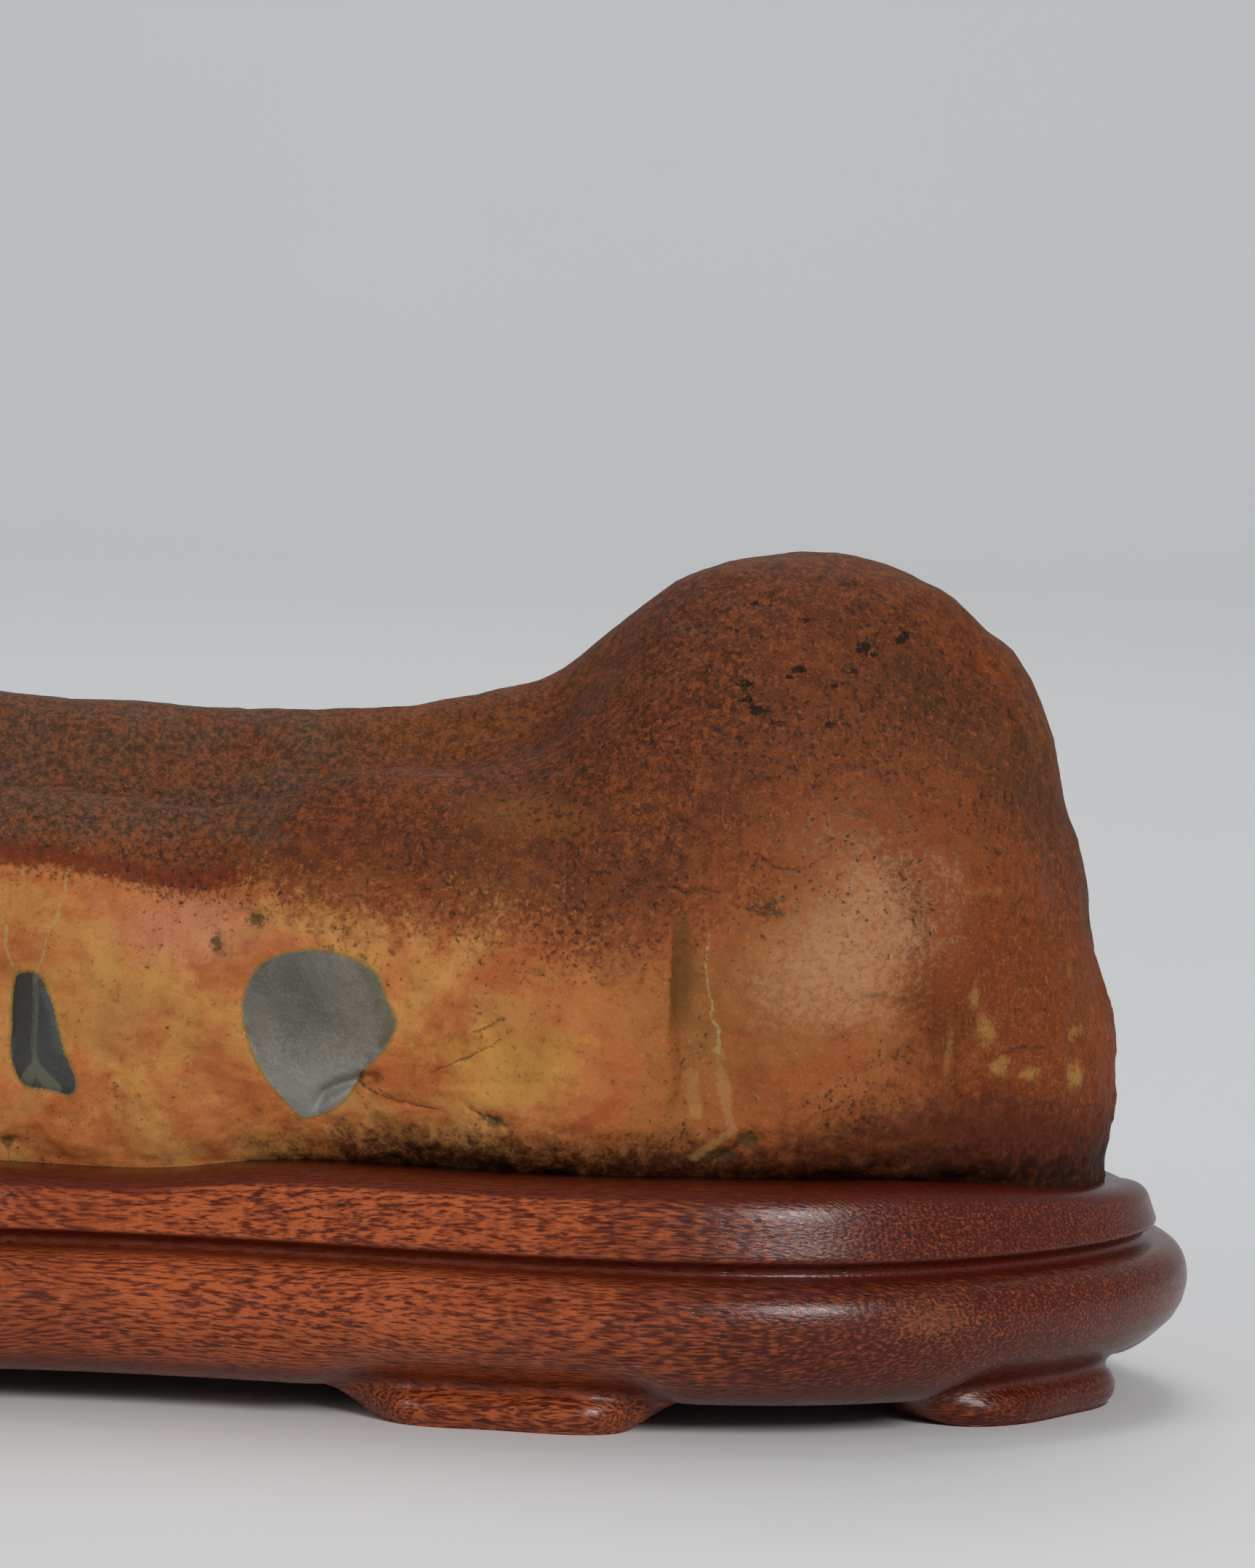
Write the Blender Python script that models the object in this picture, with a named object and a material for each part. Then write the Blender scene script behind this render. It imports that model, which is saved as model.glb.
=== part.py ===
"""Scholars' rock on its carved wooden stand.

A river-worn stone, one long plateau with a dome at its right end, sits in a shallow seat cut
into a two-tier hardwood stand on eight low feet.  Both are single solids.

The lengths below are in millimetres, and the meshes are written in metres.
X runs along the stand, Y from its front to its back, and Z up from the surface it stands on.
"""

import math

import bmesh
import bpy
import numpy as np

MM = 0.001

# ---- Plan: the edge of the stand's upper tier, seen from above, going round from the right end
PLAN_POINTS = (
    (74.0, 2.0),
    (71.5, 14.0),
    (62.0, 23.0),
    (44.0, 27.3),
    (14.0, 26.8),
    (-14.0, 26.4),
    (-44.0, 26.6),
    (-63.0, 20.5),
    (-73.0, 8.0),
    (-73.0, -7.0),
    (-64.0, -18.5),
    (-46.0, -25.4),
    (-28.0, -25.6),
    (-8.0, -22.6),
    (8.0, -23.6),
    (24.0, -26.4),
    (38.0, -27.7),
    (51.0, -25.6),
    (62.5, -18.6),
    (71.0, -8.5),
)
# The edge is read as a smooth curve in this many steps from each point to the next, then cut
# into even steps and softened this many times
PLAN_CURVE_STEPS = 20
PLAN_STEPS = 720
PLAN_SOFTENINGS = 36

# ---- Stone
STONE_BASE_Z = 13.0
STONE_EDGE_BASE = 3.0
STONE_INSET = 5.0
STONE_INSET_RIGHT_END = 3.4
STONE_CORE_Z = 27.0
STONE_CORE_HALF_LENGTH = 46.0
STONE_WIDEST_Z = 26.0
STONE_UNDERCUT = 5.0
UNDERCUT_FROM_Z = 23.5
UNDERCUT_HEIGHT = 6.6
# How much of the undercut each stretch of the front has, as (x, share)
UNDERCUT_SHARE = (
    (-76.0, 0.8),
    (-30.0, 0.7),
    (-9.0, 0.3),
    (4.0, 0.3),
    (14.0, 0.9),
    (30.0, 1.0),
    (54.0, 1.0),
    (61.0, 0.55),
    (67.0, 0.1),
    (76.0, 0.1),
)
# How far the undercut's round is followed before it runs level, as a share of its height
UNDERCUT_END = 0.96
# The upper part of the side leans in by WALL_LEAN at LEAN_HEIGHT above the widest part
WALL_LEAN = 0.8
LEAN_HEIGHT = 10.0
LEAN_POWER = 1.5
# Bearing, in radians from the X axis, over which the right end's inset fades
RIGHT_END_HALF_ANGLE = 0.5

# The skyline, seen from the front, as (x, z)
SKYLINE = (
    (-76.0, 26.0),
    (-66.0, 32.0),
    (-57.0, 40.5),
    (-47.0, 47.4),
    (-36.0, 50.6),
    (-24.0, 50.4),
    (-11.0, 48.9),
    (-3.0, 47.8),
    (5.0, 47.1),
    (10.0, 47.6),
    (18.0, 48.7),
    (25.0, 49.8),
    (29.5, 51.1),
    (33.5, 54.6),
    (38.0, 58.5),
    (42.5, 60.5),
    (47.0, 61.1),
    (51.5, 60.2),
    (55.5, 58.2),
    (59.5, 55.3),
    (63.0, 53.1),
    (67.0, 45.2),
    (72.0, 35.0),
)
CREST_Y = -3.5
# How far the top has dropped in front of the crest line, as (distance, drop), in the basin
BASIN_SLOPE = (
    (0.0, 0.0),
    (1.5, 0.8),
    (4.5, 4.8),
    (6.4, 6.1),
    (8.6, 5.4),
    (10.6, 6.2),
    (13.5, 9.0),
    (18.0, 14.6),
)
DOME_FROM_X = 19.0
DOME_TO_X = 38.0
DOME_SIDE_Z = 29.0
DOME_DEPTH = 18.6
BACK_SIDE_Z = 22.0
BACK_DEPTH = 27.0
# A vault's height follows a round up to this share of its half width, then runs on straight
STEEPEST_SHARE = 0.9
# How far the top and the side are rounded into each other, at the brow, and on the dome and behind
BROW_SOFTNESS = 3.2
SHOULDER_SOFTNESS = 8.0
SHOULDER_BEHIND_Y = (-6.0, 6.0)

# Slow waves of the worn surface: height, radians per millimetre along X, Y and Z, and start
SLOW_WAVES = (
    (0.35, (0.21, 0.06, 0.0), 1.3),
    (0.30, (0.0, 0.27, 0.13), 2.1),
    (0.25, (-0.19, 0.0, 0.31), 0.4),
)

# Swellings (above zero) and hollows (below zero): middle, how far out, and half widths along X, Y, Z
STONE_FORMS = (
    ("hump in front of the basin", (17.5, -12.0, 42.0), 2.8, (7.0, 4.5, 7.0)),
    ("scoop in the brow", (4.5, -16.5, 38.0), -1.6, (4.5, 3.5, 4.0)),
    ("buttress under the dome", (54.0, -22.0, 33.0), 1.5, (9.0, 9.0, 10.0)),
    ("edge of the front face", (35.0, -22.0, 28.0), 0.7, (2.6, 9.0, 8.0)),
    ("belly of the front face", (22.0, -20.0, 26.0), 0.7, (10.0, 8.0, 8.0)),
    ("crease left of the front face", (-9.8, -18.0, 28.5), -1.4, (2.8, 7.0, 7.5)),
    ("dent in the dome's shoulder", (58.5, -13.0, 51.0), -0.8, (4.0, 6.0, 3.0)),
    ("waist of the right end", (70.0, 0.0, 32.0), -0.55, (5.0, 14.0, 4.5)),
    ("neck of the right end", (68.0, -2.0, 43.0), -0.9, (5.0, 14.0, 3.5)),
    ("roll of the right end", (70.0, 0.0, 21.0), 0.6, (5.0, 16.0, 6.0)),
    ("front of the left hill", (-38.0, -16.0, 40.0), 2.2, (10.0, 7.0, 8.0)),
    ("left front swelling", (-27.0, -22.0, 28.0), 1.3, (8.0, 8.0, 9.0)),
    ("left front crease", (-46.0, -20.0, 28.0), -1.8, (4.0, 8.0, 8.0)),
    ("hollow of the back", (10.0, 20.0, 32.0), -2.4, (9.0, 9.0, 12.0)),
    ("swelling of the back", (-24.0, 20.0, 26.0), 1.6, (10.0, 9.0, 9.0)),
    ("groove down the back", (40.0, 19.0, 34.0), -1.4, (3.5, 9.0, 14.0)),
)

# The recess at the right end of the front face: sharp at its left edge, fading to its right
RECESS_EDGE = (37.7, 38.9)
RECESS_FADE = (40.5, 47.0)
RECESS_Z = 28.0
RECESS_HALF_HEIGHT = 8.0
RECESS_DEPTH = 2.0
RECESS_SLANT = 0.06

# The stone's block is sliced this many times along X, Y and Z, and each face is then divided
STONE_CUTS = (18, 9, 7)
STONE_SUBDIVISIONS = 1
# The surface is met along each ray by halving, and its slope is read over a short step
RAY_LENGTH = 60.0
RAY_HALVINGS = 34
SLOPE_STEP = 0.05

# ---- Stand
SEAT_CLEARANCE = 0.5
SEAT_FLOOR_Z = STONE_BASE_Z - 0.3
SEAT_WALL_FROM_Z = STONE_BASE_Z + 2.5
SEAT_SOFTENINGS = 3
LIP_Z = 17.2
# The lip rises and falls with the stone's foot, as (x, z)
LIP_LINE = (
    (-76.0, 15.8),
    (-60.0, 17.0),
    (-30.0, 17.4),
    (-8.0, 16.6),
    (2.0, 16.6),
    (9.0, 17.4),
    (24.0, 17.6),
    (46.0, 17.8),
    (58.0, 17.6),
    (65.0, 17.0),
    (70.0, 16.3),
    (76.0, 15.5),
)
# Behind the stone the lip is lower by this much, reached at LIP_BACK_Y
LIP_BACK_DROP = 1.1
LIP_BACK_Y = 9.0
TIER_FOOT_Z = 12.6
STAND_SEGMENTS = 120
# The mouldings, as (outwards from the plan edge, z): the upper tier from its ledge down to its
# lower edge, the cove under it, the shoulder and the belly
MOULDING = (
    (-3.1, 17.2),
    (-1.6, 16.85),
    (-0.7, 15.8),
    (-0.28, 14.2),
    (0.0, 12.7),
    (-0.8, 12.1),
    (-0.6, 11.55),
    (0.8, 11.28),
    (1.85, 10.6),
    (2.5, 8.9),
    (2.15, 7.1),
)
# Below the belly, each ring as (outwards, z) between the feet and on a foot
FOOT_PROFILE = (
    ((1.6, 5.8), (1.5, 6.0)),
    ((0.1, 3.85), (-0.4, 4.5)),
    ((-1.5, 2.68), (-2.05, 3.45)),
    ((-2.7, 2.4), (-2.15, 2.55)),
    ((-3.7, 2.4), (-1.45, 1.65)),
    ((-4.7, 2.4), (-1.6, 0.5)),
    ((-5.8, 2.4), (-2.6, 0.0)),
    ((-10.0, 2.4), (-10.0, 0.0)),
    ((-12.0, 3.0), (-12.0, 3.0)),
)
# The feet, as the bearings in degrees from the stand's middle where each begins and ends
FEET = ((-57.5, -36.0), (-19.0, 1.0), (10.0, 25.0), (36.0, 55.0))
# Past a foot's end its floor rises into the underside, and its pad narrows, over these shares
# of the fillet
FOOT_FILLET = 3.2
FLOOR_RISE = (-0.8, 1.2)
PAD_NARROWING = (-1.2, 0.8)
# The corners of a foot's pad are drawn in, and its front is dished a little in the middle
FOOT_CORNER = 3.4
CORNER_POWER = 4
CORNER_LIMIT = 1.3
FOOT_DISH = 0.35
DISH_HALF_WIDTH = 0.3
DISHED_HALF_LENGTH = 6.0
# Both fade in down the pad, and leave the foot's inner edge alone
PAD_FADE_Z = (4.5, 2.0)
PAD_INNER_EDGE = -9.0


# ---- Colours, as linear red, green and blue, and roughness
STONE_COLOUR = (0.26, 0.11, 0.04)
STONE_ROUGHNESS = 0.45
WOOD_COLOUR = (0.14, 0.035, 0.015)
WOOD_ROUGHNESS = 0.3


def smooth_max(a, b, softness):
    """The larger of a and b, rounded over where they are within softness of each other."""
    overlap = np.maximum(softness - np.abs(a - b), 0.0)
    return np.maximum(a, b) + overlap * overlap / (4.0 * softness)


def smooth_step(low, high, value):
    t = np.clip((value - low) / (high - low), 0.0, 1.0)
    return t * t * (3.0 - 2.0 * t)


def bell(distance, half_width):
    return np.exp(-((distance / half_width) ** 2))


def smooth_curve(points, x):
    """A smooth curve z(x) through points, with slopes taken from each point's neighbours."""
    knots = np.array(points)
    slopes = np.gradient(knots[:, 1], knots[:, 0])
    x = np.clip(x, knots[0, 0], knots[-1, 0])
    i = np.clip(np.searchsorted(knots[:, 0], x) - 1, 0, len(knots) - 2)
    span = knots[i + 1, 0] - knots[i, 0]
    t = (x - knots[i, 0]) / span
    return (
        (2 * t**3 - 3 * t**2 + 1) * knots[i, 1]
        + (t**3 - 2 * t**2 + t) * span * slopes[i]
        + (3 * t**2 - 2 * t**3) * knots[i + 1, 1]
        + (t**3 - t**2) * span * slopes[i + 1]
    )


def plan_curve():
    """The plan edge as evenly spaced points, and its outward normals."""
    knots = np.array(PLAN_POINTS)
    count = len(knots)
    fine = []
    for i in range(count):
        a, b, c, d = (knots[(i + k) % count] for k in (-1, 0, 1, 2))
        for t in np.arange(PLAN_CURVE_STEPS) / PLAN_CURVE_STEPS:
            fine.append(
                0.5 * (2 * b + (c - a) * t + (2 * a - 5 * b + 4 * c - d) * t**2
                       + (3 * b - a - 3 * c + d) * t**3)
            )
    fine = np.array(fine + [fine[0]])
    along = np.concatenate([[0.0], np.cumsum(np.linalg.norm(np.diff(fine, axis=0), axis=1))])
    even = np.linspace(0.0, along[-1], PLAN_STEPS, endpoint=False)
    points = np.stack([np.interp(even, along, fine[:, k]) for k in (0, 1)], axis=1)
    for _ in range(PLAN_SOFTENINGS):
        points = (np.roll(points, 1, axis=0) + 2 * points + np.roll(points, -1, axis=0)) / 4
    points -= (points.max(axis=0) + points.min(axis=0)) / 2
    tangent = np.roll(points, -1, axis=0) - np.roll(points, 1, axis=0)
    tangent /= np.linalg.norm(tangent, axis=1)[:, None]
    return points, np.stack([tangent[:, 1], -tangent[:, 0]], axis=1)


PLAN, PLAN_NORMALS = plan_curve()


def plan_tables():
    """The plan edge's radius for each angle, and the slant of the edge to that radius."""
    angle = np.arctan2(PLAN[:, 1], PLAN[:, 0])
    radius = np.linalg.norm(PLAN, axis=1)
    slant = (PLAN * PLAN_NORMALS).sum(axis=1) / radius
    order = np.argsort(angle)
    return angle[order], radius[order], slant[order]


PLAN_ANGLE, PLAN_RADIUS, PLAN_SLANT = plan_tables()


def outside_plan(x, y):
    """About how far a point lies outside the plan edge, negative inside it."""
    angle = np.arctan2(y, x)
    radius = np.interp(angle, PLAN_ANGLE, PLAN_RADIUS, period=2 * math.pi)
    slant = np.interp(angle, PLAN_ANGLE, PLAN_SLANT, period=2 * math.pi)
    return (np.hypot(x, y) - radius) * slant


def undulation(x, y, z):
    """The slow unevenness of water-worn stone, in millimetres."""
    return sum(
        height * np.sin(along[0] * x + along[1] * y + along[2] * z + start)
        for height, along, start in SLOW_WAVES
    )


def vault(across):
    """A round vault's height share at a share of its half width, run on straight at its edge."""
    inside = np.clip(across, 0.0, STEEPEST_SHARE)
    height = np.sqrt(1.0 - inside**2)
    return height - (across - inside).clip(0.0) * inside / height


def stone_top(x, y):
    """Height of the stone's upper surface, before its edges are rounded over."""
    crest = smooth_curve(SKYLINE, x)
    ahead = CREST_Y - y
    basin = crest - smooth_curve(BASIN_SLOPE, ahead)
    dome = DOME_SIDE_Z + (crest - DOME_SIDE_Z) * vault(ahead / DOME_DEPTH)
    front = basin + (dome - basin) * smooth_step(DOME_FROM_X, DOME_TO_X, x)
    back = BACK_SIDE_Z + (crest - BACK_SIDE_Z) * vault(-ahead / BACK_DEPTH)
    return np.where(ahead > 0, front, back)


def stone_side(x, y, z):
    """About how far a point lies outside the stone's side wall."""
    right_end = bell(np.arctan2(y, x), RIGHT_END_HALF_ANGLE) * (x > 0)
    inset = STONE_INSET + (STONE_INSET_RIGHT_END - STONE_INSET) * right_end
    below = np.clip((UNDERCUT_FROM_Z - z) / UNDERCUT_HEIGHT, 0.0, UNDERCUT_END)
    above = np.clip((z - STONE_WIDEST_Z) / LEAN_HEIGHT, 0.0, None)
    undercut = STONE_UNDERCUT * smooth_curve(UNDERCUT_SHARE, x) * (1.0 - np.sqrt(1.0 - below**2))
    return outside_plan(x, y) + inset + undercut + WALL_LEAN * above**LEAN_POWER


def stone_relief(x, y, z):
    """How far the named swellings and hollows move the surface outwards."""
    relief = undulation(x, y, z)
    for _, middle, outwards, half in STONE_FORMS:
        near = bell(x - middle[0], half[0]) * bell(y - middle[1], half[1])
        relief = relief + outwards * near * bell(z - middle[2], half[2])
    slanted = x - RECESS_SLANT * (RECESS_Z - z)
    recess = smooth_step(*RECESS_EDGE, slanted) * (1.0 - smooth_step(*RECESS_FADE, slanted))
    recess = recess * bell(z - RECESS_Z, RECESS_HALF_HEIGHT) * (y < 0.0)
    return relief - RECESS_DEPTH * recess


def stone_field(x, y, z):
    """Below zero inside the stone and above zero outside it."""
    height = stone_top(x, y)
    slope_x = (stone_top(x + SLOPE_STEP, y) - height) / SLOPE_STEP
    slope_y = (stone_top(x, y + SLOPE_STEP) - height) / SLOPE_STEP
    top = (z - height) / np.sqrt(1.0 + slope_x**2 + slope_y**2)
    dome = smooth_step(DOME_FROM_X, DOME_TO_X, x)
    behind = smooth_step(*SHOULDER_BEHIND_Y, y)
    rounded = np.maximum(dome, behind)
    softness = BROW_SOFTNESS + (SHOULDER_SOFTNESS - BROW_SOFTNESS) * rounded
    body = smooth_max(stone_side(x, y, z), top, softness) - stone_relief(x, y, z)
    return smooth_max(body, STONE_BASE_Z - z, STONE_EDGE_BASE)


def reach(start, direction, limit, field):
    """How far each ray from start goes along direction before field turns positive."""
    near = np.zeros(len(start))
    far = np.full(len(start), limit)
    for _ in range(RAY_HALVINGS):
        middle = (near + far) / 2
        point = start + direction * middle[:, None]
        outside = field(point[:, 0], point[:, 1], point[:, 2]) > 0
        far = np.where(outside, middle, far)
        near = np.where(outside, near, middle)
    return (near + far) / 2


def sliced_block(cuts, subdivisions):
    """A two-unit cube sliced into a grid of faces, as a bmesh."""
    block = bmesh.new()
    bmesh.ops.create_cube(block, size=2.0)
    for axis, count in enumerate(cuts):
        normal = [0.0, 0.0, 0.0]
        normal[axis] = 1.0
        for i in range(1, count):
            place = [0.0, 0.0, 0.0]
            place[axis] = -1.0 + 2.0 * i / count
            everything = block.verts[:] + block.edges[:] + block.faces[:]
            bmesh.ops.bisect_plane(block, geom=everything, plane_co=place, plane_no=normal)
    bmesh.ops.subdivide_edges(block, edges=block.edges[:], cuts=subdivisions, use_grid_fill=True)
    return block


def project_to_stone(block_points):
    """Moves the points of the sliced block out along rays onto the stone's surface."""
    cube = np.clip(block_points, -1.0, 1.0)
    square = cube**2
    others = np.roll(square, -1, axis=1), np.roll(square, 1, axis=1)
    ball = cube * np.sqrt(1.0 - others[0] / 2 - others[1] / 2 + others[0] * others[1] / 3)
    start = np.zeros_like(ball)
    start[:, 0] = STONE_CORE_HALF_LENGTH * ball[:, 0] * (1.5 - 0.5 * ball[:, 0] ** 2)
    start[:, 2] = STONE_CORE_Z
    return start + ball * reach(start, ball, RAY_LENGTH, stone_field)[:, None]


def add_object(name, block, material):
    """Adds the bmesh to the scene as a named object with one material."""
    bmesh.ops.recalc_face_normals(block, faces=block.faces[:])
    mesh = bpy.data.meshes.new(name)
    block.to_mesh(mesh)
    block.free()
    mesh.materials.append(material)
    mesh.shade_smooth()
    obj = bpy.data.objects.new(name, mesh)
    bpy.context.scene.collection.objects.link(obj)
    return obj


def add_material(name, colour, roughness):
    material = bpy.data.materials.new(name)
    material.use_nodes = True
    shader = material.node_tree.nodes["Principled BSDF"]
    shader.inputs["Base Color"].default_value = (*colour, 1.0)
    shader.inputs["Roughness"].default_value = roughness
    shader.inputs["Metallic"].default_value = 0.0
    return material


def build_stone():
    block = sliced_block(STONE_CUTS, STONE_SUBDIVISIONS)
    points = project_to_stone(np.array([vertex.co[:] for vertex in block.verts]))
    for vertex, point in zip(block.verts, points):
        vertex.co = point * MM
    return add_object("stone", block, add_material("worn_stone", STONE_COLOUR, STONE_ROUGHNESS))


def seat_ring(points, normals, z, clearance):
    """The stone's outline at height z, grown by clearance, met from each plan point."""
    start = np.column_stack([points, z])
    inward = np.column_stack([-normals, np.zeros(len(points))])
    depth = reach(start, inward, RAY_LENGTH / 3, lambda x, y, height: -stone_field(x, y, height))
    for _ in range(SEAT_SOFTENINGS):
        depth = (np.roll(depth, 1) + 2 * depth + np.roll(depth, -1)) / 4
    return start + inward * (depth - clearance)[:, None]


def foot_places(points):
    """For each point of the plan edge, how far along its foot it is: zero in the middle of a
    foot, one at its ends and more between feet, with the foot's half length in millimetres."""
    count = len(points)
    step = np.linalg.norm(points - np.roll(points, 1, axis=0), axis=1).mean()
    bearing = np.degrees(np.arctan2(points[:, 1], np.abs(points[:, 0])))
    place = np.full(count, np.inf)
    half = np.ones(count)
    for side in (1.0, -1.0):
        for first, last in FEET:
            ring = np.flatnonzero((bearing > first) & (bearing < last) & (points[:, 0] * side > 0))
            gaps = np.flatnonzero(np.diff(ring) > 1)
            start, end = ring[0], ring[-1]
            if len(gaps):
                start, end = ring[gaps[0] + 1] - count, ring[gaps[0]]
            away = (np.arange(count) - (start + end) / 2 + count / 2) % count - count / 2
            reached = np.abs(away) * step
            length = (end - start) * step / 2
            nearer = reached - length < (place - 1.0) * half
            place = np.where(nearer, reached / length, place)
            half = np.where(nearer, length, half)
    return place, half


def stand_rings(count):
    """The stand as closed rings of points, from its seat floor round to its underside."""
    pick = np.linspace(0, PLAN_STEPS, count, endpoint=False).astype(int)
    points = PLAN[pick]
    normals = PLAN_NORMALS[pick]
    place, half = (values[pick] for values in foot_places(PLAN))
    past_end = (place - 1.0) * half / FOOT_FILLET
    down = 1.0 - smooth_step(*FLOOR_RISE, past_end)
    pad = 1.0 - smooth_step(*PAD_NARROWING, past_end)
    corner = FOOT_CORNER * np.clip(place, 0.0, CORNER_LIMIT) ** CORNER_POWER
    dish = FOOT_DISH * bell(place, DISH_HALF_WIDTH) * (half > DISHED_HALF_LENGTH)

    def ring(outwards, z):
        flat = points + normals * np.broadcast_to(outwards, count)[:, None]
        return np.column_stack([flat, np.broadcast_to(z, count)])

    lip = smooth_curve(LIP_LINE, points[:, 0])
    lip = lip - LIP_BACK_DROP * smooth_step(0.0, LIP_BACK_Y, points[:, 1])
    wall_foot = seat_ring(points, normals, np.full(count, SEAT_WALL_FROM_Z), SEAT_CLEARANCE)
    wall_foot[:, 2] = SEAT_FLOOR_Z
    rings = [wall_foot, seat_ring(points, normals, lip, SEAT_CLEARANCE)]
    for outwards, z in MOULDING:
        raised = np.maximum(z - TIER_FOOT_Z, 0.0) / (LIP_Z - TIER_FOOT_Z)
        rings.append(ring(outwards, z + raised * (lip - LIP_Z)))
    for (bare_out, bare_z), (foot_out, foot_z) in FOOT_PROFILE:
        drawn_in = smooth_step(*PAD_FADE_Z, foot_z) * (foot_out > PAD_INNER_EDGE)
        pulled = foot_out - drawn_in * (corner + dish)
        outwards = bare_out + (pulled - bare_out) * pad
        rings.append(ring(outwards, bare_z + (foot_z - bare_z) * down))
    return rings


def build_stand():
    block = bmesh.new()
    rows = [[block.verts.new(point * MM) for point in ring] for ring in stand_rings(STAND_SEGMENTS)]
    for upper, lower in zip(rows, rows[1:]):
        for i in range(STAND_SEGMENTS):
            k = (i + 1) % STAND_SEGMENTS
            block.faces.new((upper[i], upper[k], lower[k], lower[i]))
    block.faces.new(rows[0])
    block.faces.new(rows[-1])
    return add_object("stand", block, add_material("rosewood", WOOD_COLOUR, WOOD_ROUGHNESS))


def clear_scene():
    for obj in list(bpy.data.objects):
        bpy.data.objects.remove(obj)


def main():
    clear_scene()
    build_stone()
    build_stand()


main()
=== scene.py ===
"""Scholars' rock on its carved wooden stand: the looks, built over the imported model.

Laid out as an add-on: settings, one operator for each piece and one for the stage, and a panel.
Lengths in the shape functions are in millimetres, and the meshes are written in metres.
X runs along the stand, Y from its front to its back, and Z up from the surface it stands on.
"""

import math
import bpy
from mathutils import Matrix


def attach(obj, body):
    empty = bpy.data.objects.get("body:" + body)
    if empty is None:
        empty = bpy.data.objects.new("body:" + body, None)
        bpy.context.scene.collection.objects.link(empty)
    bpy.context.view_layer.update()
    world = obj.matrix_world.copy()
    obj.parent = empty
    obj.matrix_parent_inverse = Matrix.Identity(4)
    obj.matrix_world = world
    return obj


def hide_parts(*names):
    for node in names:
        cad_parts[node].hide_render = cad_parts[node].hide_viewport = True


bl_info = {
    "name": "Scholars' Rock on a Carved Stand",
    "version": (1, 0, 0),
    "blender": (4, 5, 0),
    "location": "3D View > Sidebar > Scholars' Rock",
    "description": "Adds a river-worn viewing stone, its carved rosewood stand and a plain stage",
    "category": "Add Mesh",
}

from functools import partial

import bmesh
import bpy
import numpy as np
from mathutils import Matrix, Vector, noise

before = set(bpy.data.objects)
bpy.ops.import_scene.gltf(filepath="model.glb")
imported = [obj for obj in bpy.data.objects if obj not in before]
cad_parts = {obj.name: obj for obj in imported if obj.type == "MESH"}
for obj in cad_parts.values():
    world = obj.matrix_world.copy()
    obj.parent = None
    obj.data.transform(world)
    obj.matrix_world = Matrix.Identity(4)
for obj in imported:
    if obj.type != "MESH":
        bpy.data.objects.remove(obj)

MM = 0.001

# ---------------------------------------------------------------- the stone's and the stand's form
# These repeat the named sizes of the CAD model, so each piece lies on the solid that it replaces.

# The edge of the stand's upper tier, seen from above, going round from the right end
PLAN_POINTS = (
    (74.0, 2.0), (71.5, 14.0), (62.0, 23.0), (44.0, 27.3), (14.0, 26.8), (-14.0, 26.4),
    (-44.0, 26.6), (-63.0, 20.5), (-73.0, 8.0), (-73.0, -7.0), (-64.0, -18.5), (-46.0, -25.4),
    (-28.0, -25.6), (-8.0, -22.6), (8.0, -23.6), (24.0, -26.4), (38.0, -27.7), (51.0, -25.6),
    (62.5, -18.6), (71.0, -8.5),
)
# The edge is read as a smooth curve in this many steps from each point to the next, then cut
# into even steps and softened this many times
PLAN_CURVE_STEPS = 20
PLAN_STEPS = 720
PLAN_SOFTENINGS = 36

STONE_BASE_Z = 13.0
STONE_EDGE_BASE = 3.0
STONE_INSET = 5.0
STONE_INSET_RIGHT_END = 3.4
STONE_CORE_Z = 27.0
STONE_CORE_HALF_LENGTH = 46.0
STONE_WIDEST_Z = 26.0
STONE_UNDERCUT = 5.0
UNDERCUT_FROM_Z = 23.5
UNDERCUT_HEIGHT = 6.6
# How much of the undercut each stretch of the front has, as (x, share)
UNDERCUT_SHARE = (
    (-76.0, 0.8), (-30.0, 0.7), (-9.0, 0.3), (4.0, 0.3), (14.0, 0.9), (30.0, 1.0), (54.0, 1.0),
    (61.0, 0.55), (67.0, 0.1), (76.0, 0.1),
)
# How far the undercut's round is followed before it runs level, as a share of its height
UNDERCUT_END = 0.96
# The upper part of the side leans in by WALL_LEAN at LEAN_HEIGHT above the widest part
WALL_LEAN = 0.8
LEAN_HEIGHT = 10.0
LEAN_POWER = 1.5
# Bearing, in radians from the X axis, over which the right end's inset fades
RIGHT_END_HALF_ANGLE = 0.5

# The skyline, seen from the front, as (x, z)
SKYLINE = (
    (-76.0, 26.0), (-66.0, 32.0), (-57.0, 40.5), (-47.0, 47.4), (-36.0, 50.6), (-24.0, 50.4),
    (-11.0, 48.9), (-3.0, 47.8), (5.0, 47.1), (10.0, 47.6), (18.0, 48.7), (25.0, 49.8),
    (29.5, 51.1), (33.5, 54.6), (38.0, 58.5), (42.5, 60.5), (47.0, 61.1), (51.5, 60.2),
    (55.5, 58.2), (59.5, 55.3), (63.0, 53.1), (67.0, 45.2), (72.0, 35.0),
)
CREST_Y = -3.5
# How far the top has dropped in front of the crest line, as (distance, drop), in the basin
BASIN_SLOPE = (
    (0.0, 0.0), (1.5, 0.8), (4.5, 4.8), (6.4, 6.1), (8.6, 5.4), (10.6, 6.2), (13.5, 9.0),
    (18.0, 14.6),
)
DOME_FROM_X = 19.0
DOME_TO_X = 38.0
DOME_SIDE_Z = 29.0
DOME_DEPTH = 18.6
BACK_SIDE_Z = 22.0
BACK_DEPTH = 27.0
STEEPEST_SHARE = 0.9
BROW_SOFTNESS = 3.2
SHOULDER_SOFTNESS = 8.0
SHOULDER_BEHIND_Y = (-6.0, 6.0)

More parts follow.
